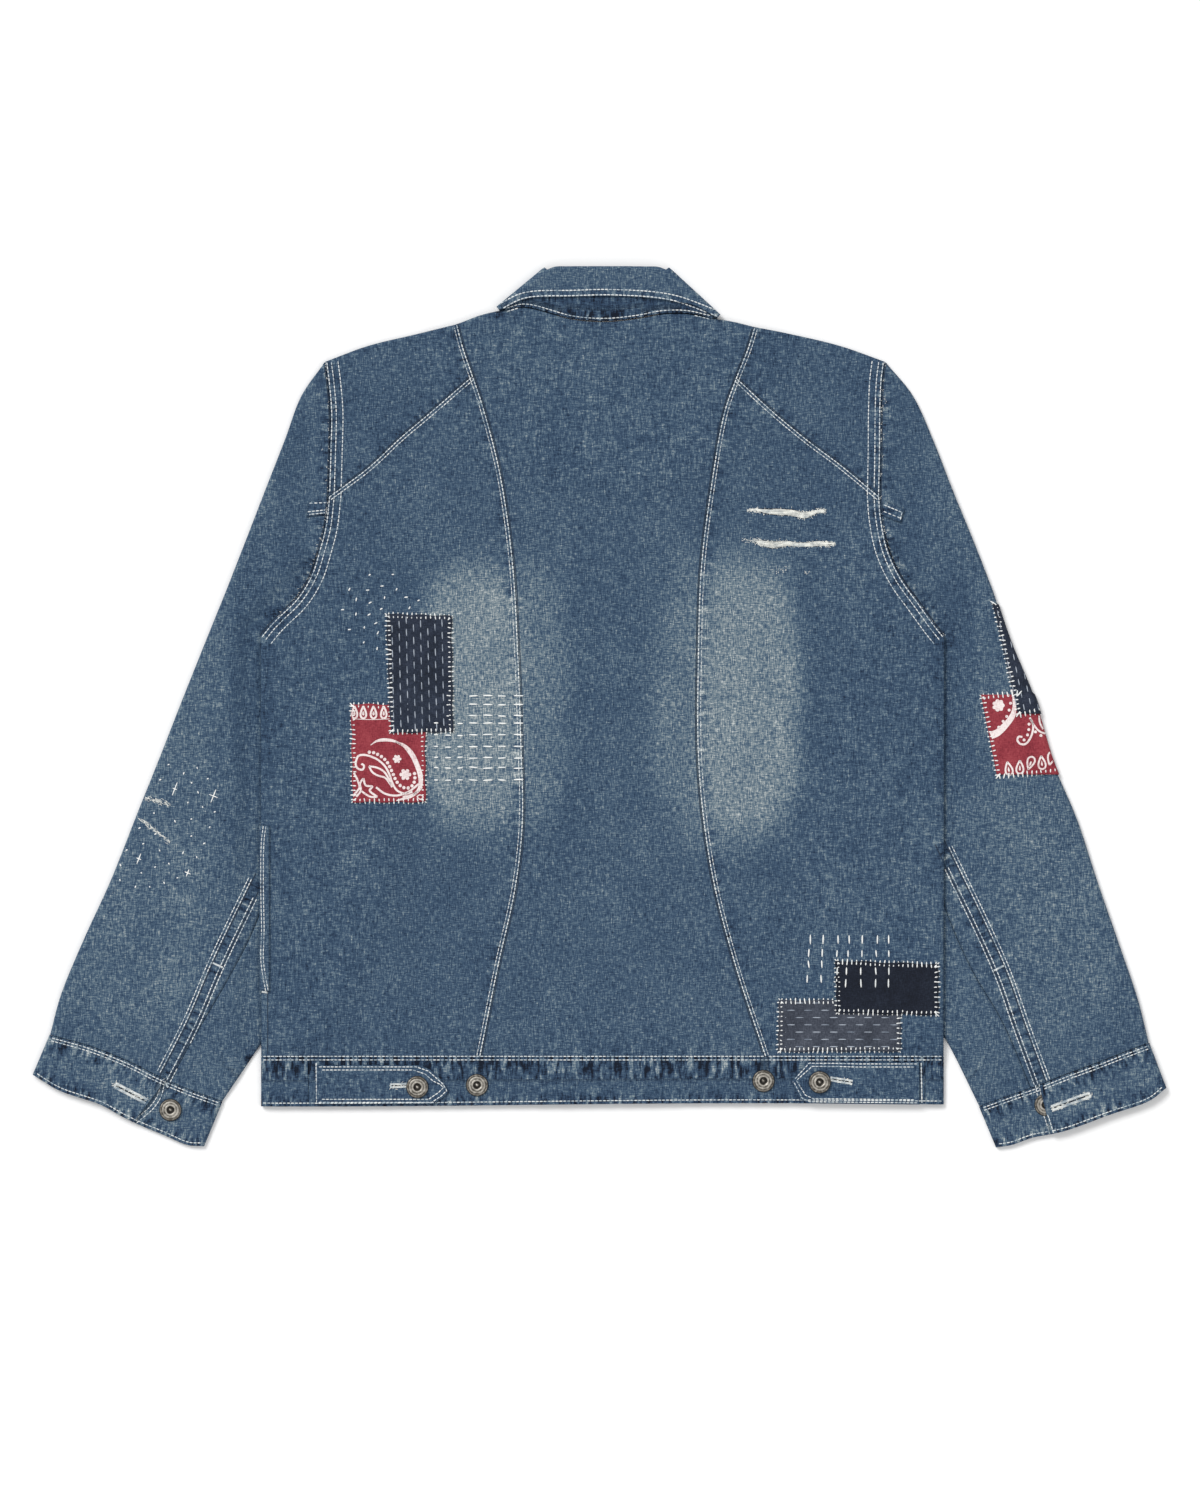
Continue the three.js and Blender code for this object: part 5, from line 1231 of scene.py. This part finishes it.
# The woven dashes of the sashiko cloths, in grey-white thread lying flat in the cloth
woven = []
for column in range(8):
    for step in range(9):
        x = -173 + column * 6.0
        y = -16 + (step * 13 + column * 4.6) % 117 * 0.8
        if y < 75:
            woven.append((x + 0.03 * (y + 16) * -0.6, y, math.pi / 2 + 0.05, 6.6, 1.0))
for line in range(7):
    for step in range(8):
        x = 153 + step * 14.4 + (line % 2) * 7.2
        y = -283.4 + line * 6.1
        if x < 250 and not (x > 194 and y > -257):
            woven.append((x, y, 0.0, 7.0, 0.95))
for column in range(4):
    for step in range(9):
        y = 80 - step * 10.5 - (column % 2) * 5
        x = 334 + column * 6.0 + (80 - y) * 0.2
        if y > -2:
            woven.append((x, y, math.pi / 2 + 0.2, 5.6, 0.9))
SASHIKO = thread("Grey-white sashiko thread", "#a3abb6", "#717b89")
sew("sashiko_dashes", woven, SASHIKO, 0.3)

# Bandana print
# White ink printed on the red cotton, in lines half a millimetre to six wide: drops, dots, flowers, leaves
# and a large curled drop. It has sunk into the cloth, so it lies flat on the patches and follows them.
def laid(name, strokes, fills, material, lift=0.07, roundness=0.0):
    """One mesh of flat or rounded ribbons (line, widths) and filled outlines, laid on what is uppermost."""
    points, faces = [], []
    for line, widths in strokes:
        line = np.asarray(line, float)
        widths = np.broadcast_to(widths, len(line))
        aside = left_of(line) * widths[:, None] / 2
        last = None
        for (x, y), (dx, dy), width in zip(line, aside, widths):
            z = ground.height(x, y)
            if z is None or (last is not None and abs(z - last) > 2):
                last = None
                continue
            first = len(points)
            for share in (-1, 0, 1):
                near = ground.height(x + dx * share, y + dy * share, z)
                rounded = roundness * width * (1 - abs(share))
                points.append((x + dx * share, y + dy * share, near + lift + rounded))
            if last is not None:
                faces += [(k - 3, k - 2, k + 1, k) for k in (first, first + 1)]
            last = z
    for outline in fills:
        heights = [ground.height(x, y) for x, y in outline]
        if None in heights or max(heights) - min(heights) > 2:
            continue
        first = len(points)
        points += [(x, y, z + lift) for (x, y), z in zip(outline, heights)]
        faces.append(tuple(range(first, len(points))))
    mesh = mesh_of(name, points, faces)
    bm = bmesh.new()
    bm.from_mesh(mesh)
    bmesh.ops.recalc_face_normals(bm, faces=bm.faces)
    bmesh.ops.reverse_faces(bm, faces=[f for f in bm.faces if f.normal.z < 0])
    bm.to_mesh(mesh)
    bm.free()
    return new_piece(name, mesh, material)


def drop(x, y, width, height, turn=0.0):
    angles = np.linspace(0, 2 * math.pi, 25)
    across = np.sin(angles) * np.sin(angles / 2) ** 1.3 * width / 2
    up = np.cos(angles) * height / 2
    return np.stack([x + across * math.cos(turn) - up * math.sin(turn),
                     y + across * math.sin(turn) + up * math.cos(turn)], -1)


def petals(x, y, radius, count=6, depth=0.2):
    angles = np.linspace(0, 2 * math.pi, 37)[:-1]
    reach = radius * (1 - depth * 1.8 * (1 - np.abs(np.cos(angles * count / 2)) ** 0.6))
    return np.stack([x + reach * np.cos(angles), y + reach * np.sin(angles)], -1)


# Two charts, for the patch on the body and for the one on the right sleeve, whose lower edge
# slants up to the fold: the plan place of each one's corner and the size of its squares
BODY = (-208.2, 4.2, 0.2668)
SLEEVE = (310.8, 99.96, 0.10714)
lines, spots = [], []


def on(chart, *points):
    """Plan places of a chart's points, whose y runs down."""
    x0, y0, square = chart
    return [(x0 + x * square, y0 - y * square) for x, y in points]


def ink(chart, widths, *points):
    """Draws a curved line, of one width or of widths at shares of its length."""
    line = curve(on(chart, *points))
    if isinstance(widths, dict):
        widths = np.interp(even(len(line) - 1), list(widths), list(widths.values()))
    lines.append((line, widths))


for x in (8, 36, 68, 100):
    lines.append((drop(*on(BODY, (x, 26))[0], 6.6, 10.2), 1.6))
    lines.append((drop(*on(BODY, (x, 29))[0], 1.4, 3.0), 0.8))
ink(BODY, 0.5, (4, 47), (60, 49), (118, 47))
ink(BODY, {0: 0.4, 0.4: 2.8, 0.7: 2.2, 1: 0.6}, (58, 130), (80, 116), (108, 113), (136, 118), (158, 130))
ink(BODY, {0: 1.2, 0.25: 4.2, 0.6: 4.0, 0.85: 2.2, 1: 1.6}, (136, 118), (165, 132), (188, 158), (203, 188),
    (215, 225), (214, 262), (196, 284), (160, 292))
ink(BODY, 1.7, (14, 176), (20, 164), (36, 160), (56, 164), (82, 176), (104, 196), (118, 222), (128, 250),
    (142, 272), (168, 282), (190, 276))
ink(BODY, 1.7, (14, 176), (12, 190), (20, 204), (34, 206), (38, 194), (30, 188))
ink(BODY, 1.6, (54, 196), (78, 200), (100, 212), (116, 236), (126, 262))
ink(BODY, 1.6, (54, 196), (64, 214), (84, 226), (104, 232), (122, 254))
ink(BODY, 1.7, (6, 216), (18, 240), (24, 262), (12, 280), (4, 290))
ink(BODY, 1.7, (36, 234), (44, 256), (64, 260), (56, 272), (80, 292))
ink(BODY, 1.6, (36, 234), (26, 250), (28, 272), (14, 292))
ink(BODY, 1.6, (28, 272), (44, 284), (60, 292), (80, 292))
ink(BODY, 1.7, (76, 262), (104, 282), (140, 288), (178, 276), (212, 250))
ink(BODY, {0: 0.8, 0.5: 3.2, 1: 1.0}, (140, 304), (168, 296), (196, 284), (222, 262))
ink(BODY, 0.9, (204, 292), (214, 286), (224, 292), (216, 300), (204, 292))
dotted = curve(on(BODY, (48, 152), (64, 152), (80, 158), (96, 168), (110, 182), (120, 200), (130, 222),
                  (142, 246), (160, 262), (178, 264), (192, 254), (198, 234), (196, 212)))
for place in at(dotted, (np.arange(18) + 0.5) / 18):
    spots.append(petals(*place, 1.4, 6, 0.03))
for x, y, radius in ((142, 173, 3.7), (168, 222, 5.0)):
    spots.append(petals(*on(BODY, (x, y))[0], radius, 6, 0.22))

spots.append(petals(*on(SLEEVE, (220, 905))[0], 5.3, 7, 0.16))
for x, y in on(SLEEVE, (297, 826), (315, 888), (304, 942), (285, 992), (257, 1030), (222, 1076), (460, 1052),
               (458, 1095), (448, 1136), (421, 1176), (510, 1112), (553, 1141), (590, 1150)):
    spots.append(petals(x, y, 1.25, 6, 0.04))
ink(SLEEVE, {0: 2.0, 0.15: 1.6, 0.5: 4.6, 0.85: 6.0, 1: 6.4}, (325, 780), (338, 850), (345, 920), (330, 985),
    (275, 1060), (210, 1120), (160, 1140))
ink(SLEEVE, 1.7, (465, 1000), (490, 1050), (488, 1110), (465, 1170), (430, 1208), (390, 1205), (368, 1175),
    (380, 1150), (408, 1152))
ink(SLEEVE, 1.5, (470, 1010), (500, 1062), (545, 1110), (605, 1130))
ink(SLEEVE, 1.5, (540, 985), (545, 1040), (572, 1092))
for x, y, turn in ((300, 1398, 0.2), (388, 1388, 0.0), (470, 1358, 2.8), (560, 1352, 0.1),
                   (632, 1322, 2.9)):
    lines.append((drop(*on(SLEEVE, (x, y))[0], 8.4, 11.2, turn), 1.5))
    spots.append(drop(*on(SLEEVE, (x, y + 6))[0], 2.2, 4.6, turn)[:-1])

# White ink soaked into the cloth, thinner in places so that the red shows
PRINT_INK = patch_cloth("White printed ink", "#b98f92", "#e2d6d4", "#f0eae7")
laid("bandana_print", lines, spots, PRINT_INK, 0.09)

# Rips and worn edges
# Two slits in the right of the back whose blue warp is worn through. The white weft threads still
# cross them, over a flat dark band of painted shade where the cloth beneath shows, with frayed ends all
# round.
def plain(name, code):
    """A dull material of one colour."""
    material = bpy.data.materials.new(name)
    material.use_nodes = True
    shader = material.node_tree.nodes["Principled BSDF"]
    shader.inputs["Base Color"].default_value = linear(code)
    shader.inputs["Roughness"].default_value = 1.0
    return material


# Flat dark bands give the thin cloth its depth: the dark inside of a rip or a slit, and the shade beside
# the thick edge of a felled seam.
SHADOW = plain("Shaded cloth inside a rip", "#141b27")
GUTTER = plain("Denim in the shade of a seam", "#1f2d3f")
WEFT = thread("Worn white weft threads", "#e3e3dc", "#aeb4b5")
TORN = (116.125, 184.0, 0.0643)  # the rips' own chart: its corner in the plan and its squares' size
HALF_SQUARE = 0.054  # the same for the half widths
rips = [
    ([(120, 262), (250, 264), (380, 282), (550, 290), (700, 300), (800, 325), (860, 335), (950, 315),
      (1040, 280), (1140, 275)], [4, 16, 36, 42, 40, 40, 40, 32, 20, 4]),
    ([(190, 660), (300, 690), (420, 716), (540, 715), (640, 700), (760, 716), (900, 715), (1040, 702),
      (1150, 706), (1270, 708)], [6, 32, 46, 40, 32, 26, 28, 34, 26, 4]),
]
shade, threads, fray = [], [], []
for points, halves in rips:
    line = curve(on(TORN, *points), 10)
    half = np.interp(even(len(line) - 1), even(len(halves) - 1), halves) * HALF_SQUARE
    shade.append((line, half * 2.7))
    aside = left_of(line)
    for number in range(11):
        share = -1.0 + number * 0.2
        wander = 0.2 * np.sin(even(len(line) - 1) * (5 + number * 1.7) + number * 2.1)
        worn = 4 + 22 * abs(share)
        keep = slice(int(rng.uniform(0, worn)), len(line) - int(rng.uniform(0, worn)))
        strand = line + aside * (half * share + wander * half / 3)[:, None]
        threads.append((strand[keep], rng.uniform(0.32, 0.62)))
    for _ in range(230):
        place = rng.integers(0, len(line))
        if rng.random() < 0.45:
            place = rng.choice([rng.integers(0, 12), len(line) - 1 - rng.integers(0, 12)])
        off = rng.choice([-1, 1]) * (half[place] * rng.uniform(0.85, 1.25) + rng.exponential(0.5))
        x, y = line[place] + aside[place] * off
        fray.append((x, y, rng.uniform(0, math.pi), rng.uniform(0.7, 1.9), rng.uniform(0.28, 0.5)))
# Small worn spots beside the rips
for x0, x1, y, spread, count in ((772, 788, 570, 1.6, 16), (804, 809, 573, 1.5, 8),
                                 (741, 754, 540, 1.6, 22)):
    for _ in range(count):
        x, y_plan = pixels(rng.uniform(x0, x1), y + rng.normal(0, spread))
        fray.append((x, y_plan, rng.uniform(0, math.pi), rng.uniform(0.7, 1.8), 0.45))
# Two small tears at the outer edge of the left sleeve
for x0, x1, y0, y1 in ((137, 171, 795, 805), (139, 171, 818, 843)):
    for _ in range(70):
        share = rng.random()
        x, y = pixels(x0 + (x1 - x0) * share, y0 + (y1 - y0) * share + rng.normal(0, 1.2))
        fray.append((x, y, rng.normal(-0.5, 0.5), rng.uniform(1.4, 4.2), rng.uniform(0.35, 0.55)))
# Pale worn fringe along the folded edge of each armhole
for side in SIDES.values():
    for share in rng.uniform(0, 1, 120):
        x, y = at(side["whole_armhole"], share)
        x += side["sign"] * rng.exponential(0.9)
        fray.append((x, y, rng.normal(0, 0.7), rng.uniform(0.8, 2.2), rng.uniform(0.25, 0.42)))
gutters = [([pixels(268, y) for y in np.linspace(992, 1054, 30)], 0.8),
           ([(x, WAIST_Y + 0.4) for x in np.linspace(-283, 288, 300)], 0.9)]
for side in SIDES.values():
    out = -side["sign"]
    for line, distance, width in (("princess", -0.6, 1.5), ("diagonal", 0.7, 1.3),
                                  ("whole_armhole", 0.8, 1.5), ("cuff_top", 0.0, 1.0),
                                  ("back_seam", -4.4, 1.0), ("back_seam", 4.1, 1.0)):
        edge = beside(side[line], out * distance)
        gutters.append((at(edge, even(int(length_of(edge) / 1.6))), width))
laid("seam_gutters", gutters, [], GUTTER, 0.04)
laid("rip_shade", shade, [], SHADOW, 0.05)
laid("rip_weft_threads", threads, [], WEFT, 0.1, 0.55)
sew("frayed_ends", fray, WEFT, sunk=0.0)

# Bar tacks and buttonholes
# Close zigzag stitches of the same off-white cotton at the ends of the sleeve vents and the pocket, and
# round each buttonhole's slit, where they are frayed.
def tack(a, b, width=1.8, pitch=0.7):
    a, b = np.array(a), np.array(b)
    run = np.linalg.norm(b - a)
    angle = math.atan2(*(b - a)[::-1]) + math.pi / 2
    return [(*(a + (b - a) * share), angle, width, 0.8) for share in even(max(2, int(run / pitch)))]


close, slits, loose = [], [], []
for x, y, dx, dy in ((218, 965, 4.5, 2.1), (998.6, 968, 4.5, -2.1), (265, 992, 2.5, 0.3),
                     (166, 1083, 2, 4)):
    close += tack(pixels(x - dx, y - dy), pixels(x + dx, y + dy))
for a, b in (((391, 1085.5), (407, 1085)), ((830.7, 1078.6), (851.8, 1082)), ((115.8, 1085), (146.5, 1101)),
             ((1089.4, 1094.5), (1051.8, 1108))):
    a, b = np.array(pixels(*a)), np.array(pixels(*b))
    step = (b - a) / np.linalg.norm(b - a)
    aside = np.array([-step[1], step[0]])
    fat = 2.5 if abs(b[1] - a[1]) > 8 else 1.8
    for offset in (-0.7 * fat, 0.7 * fat):
        close += tack(a + aside * offset, b + aside * offset, fat, 0.85)
    close += tack(a - aside * 1.6, a + aside * 1.6, 1.5)
    for _ in range(55 if fat > 2 else 22):
        x, y = a + (b - a) * rng.uniform(-0.08, 1.02) + aside * rng.normal(0, fat * 0.6)
        loose.append((x, y, math.atan2(step[1], step[0]) + rng.normal(0, 0.7), rng.uniform(1.2, 3.2), 0.5))
    slits.append(([a + (b - a) * share for share in even(12)], 0.9))
# Each slit is a flat dark band of painted shade
laid("buttonhole_slits", slits, [], SHADOW, 0.05)
sew("bar_tacks", close, TOPSTITCH, sunk=0.05)
sew("frayed_buttonholes", loose, WEFT, sunk=-0.3)

# Buttons
# Aged silver tack buttons of thin stamped metal, with rings round a dark hollow and a bright pin head in
# it. They are riveted through the tabs, the waistband and the cuffs.
BUTTON_PROFILE = [(0, 2.2), (0.8, 2.1), (1.2, 1.7), (2.1, 1.35), (2.9, 1.4), (3.5, 2.15), (4.1, 2.35),
                  (4.7, 2.1), (5.3, 1.95), (6.0, 2.2), (6.6, 2.25), (7.1, 1.95), (7.6, 1.9), (8.3, 2.05),
                  (8.9, 1.85), (9.3, 1.3), (9.3, 0.7), (8.8, 0.2), (8.0, 0.05)]
BUTTON_HEIGHT = 2.35


def tarnish(tree, place):
    """Old plating: dark where the stamped rings lie low, bright and rubbed on their tops."""
    depth = node(tree, "ShaderNodeAttribute", attribute_name="depth").outputs["Fac"]
    return weighted(tree, 0.0, (depth, 0.8), (grain(tree, place, (2.5, 2.5, 2.5)), 0.28)), None


AGED_SILVER = finish("Aged silver", tarnish, ((0.58, "#12100e"), (0.79, "#4f4b45"), (0.95, "#bdb8ae")),
                     0.42, metallic=0.75)
for button in ("waist_button_tab_left", "waist_button_band_left", "waist_button_tab_right",
               "waist_button_band_right", "cuff_button_left", "cuff_button_right"):
    solid = bpy.data.objects[button]
    corners = np.array([solid.matrix_world @ v.co for v in solid.data.vertices]) / MM
    x, y, z = (corners.min(0) + corners.max(0)) / 2
    bottom = corners[:, 2].min()
    if button == "cuff_button_right":
        x += 6.0  # it only peeps out from under the cuff's lapping end
    height = (corners[:, 2].max() - bottom) / BUTTON_HEIGHT
    bm = bmesh.new()
    ring = [bm.verts.new((r, 0, level * height)) for r, level in BUTTON_PROFILE]
    edges = [bm.edges.new(pair) for pair in zip(ring, ring[1:])]
    bmesh.ops.spin(bm, geom=ring + edges, cent=(0, 0, 0), axis=(0, 0, 1), dvec=(0, 0, 0), angle=2 * math.pi,
                   steps=56, use_merge=True, use_normal_flip=False, use_duplicate=False)
    bmesh.ops.remove_doubles(bm, verts=bm.verts, dist=0.001)
    bmesh.ops.recalc_face_normals(bm, faces=bm.faces)
    levels = [v.co.z / height / BUTTON_HEIGHT for v in bm.verts]
    mesh = finished(bm, f"{button}_metal", (x, y, bottom))
    mesh.shade_smooth()
    mesh.attributes.new("depth", "FLOAT", "POINT").data.foreach_set("value", levels)
    new_piece(f"{button}_metal", mesh, AGED_SILVER, [button])

# Floor, light and camera
# A plain near-white floor, soft light from above and the upper left, and a long lens from straight above.
bpy.ops.mesh.primitive_plane_add(size=30)
floor = bpy.context.object
floor.name = "floor"
floor.data.materials.append(plain("White floor", "#f4f4f4"))

world = bpy.data.worlds.new("studio")
bpy.context.scene.world = world
world.use_nodes = True
world.node_tree.nodes["Background"].inputs["Color"].default_value = (1, 1, 1, 1)
world.node_tree.nodes["Background"].inputs["Strength"].default_value = 0.62

for label, energy, angle, direction in (("key", 2.1, 26, (-0.62, 0.66, 0.9)),
                                        ("fill", 0.5, 60, (0.7, -0.3, 1.0))):
    light = bpy.data.lights.new(label, "SUN")
    light.energy = energy
    light.angle = math.radians(angle)
    lamp = bpy.data.objects.new(label, light)
    bpy.context.scene.collection.objects.link(lamp)
    lamp.rotation_euler = Vector(direction).to_track_quat("Z", "Y").to_euler()

camera_data = bpy.data.cameras.new("camera")
camera = bpy.data.objects.new("camera", camera_data)
bpy.context.scene.collection.objects.link(camera)
bpy.context.scene.camera = camera
DISTANCE = 8.0
FIELD = 1.26  # what the picture's height shows, in metres
camera_data.sensor_fit = "VERTICAL"
camera_data.sensor_height = 30.0
camera_data.lens = camera_data.sensor_height * DISTANCE / FIELD
camera_data.clip_end = 100
# The photograph's middle row and column, in the row's frame
middle = (*pixels(600, 750), 0.0) + CENTRING
camera.location = (middle[0] * MM, middle[1] * MM, DISTANCE)
bpy.context.scene.view_settings.view_transform = "Standard"
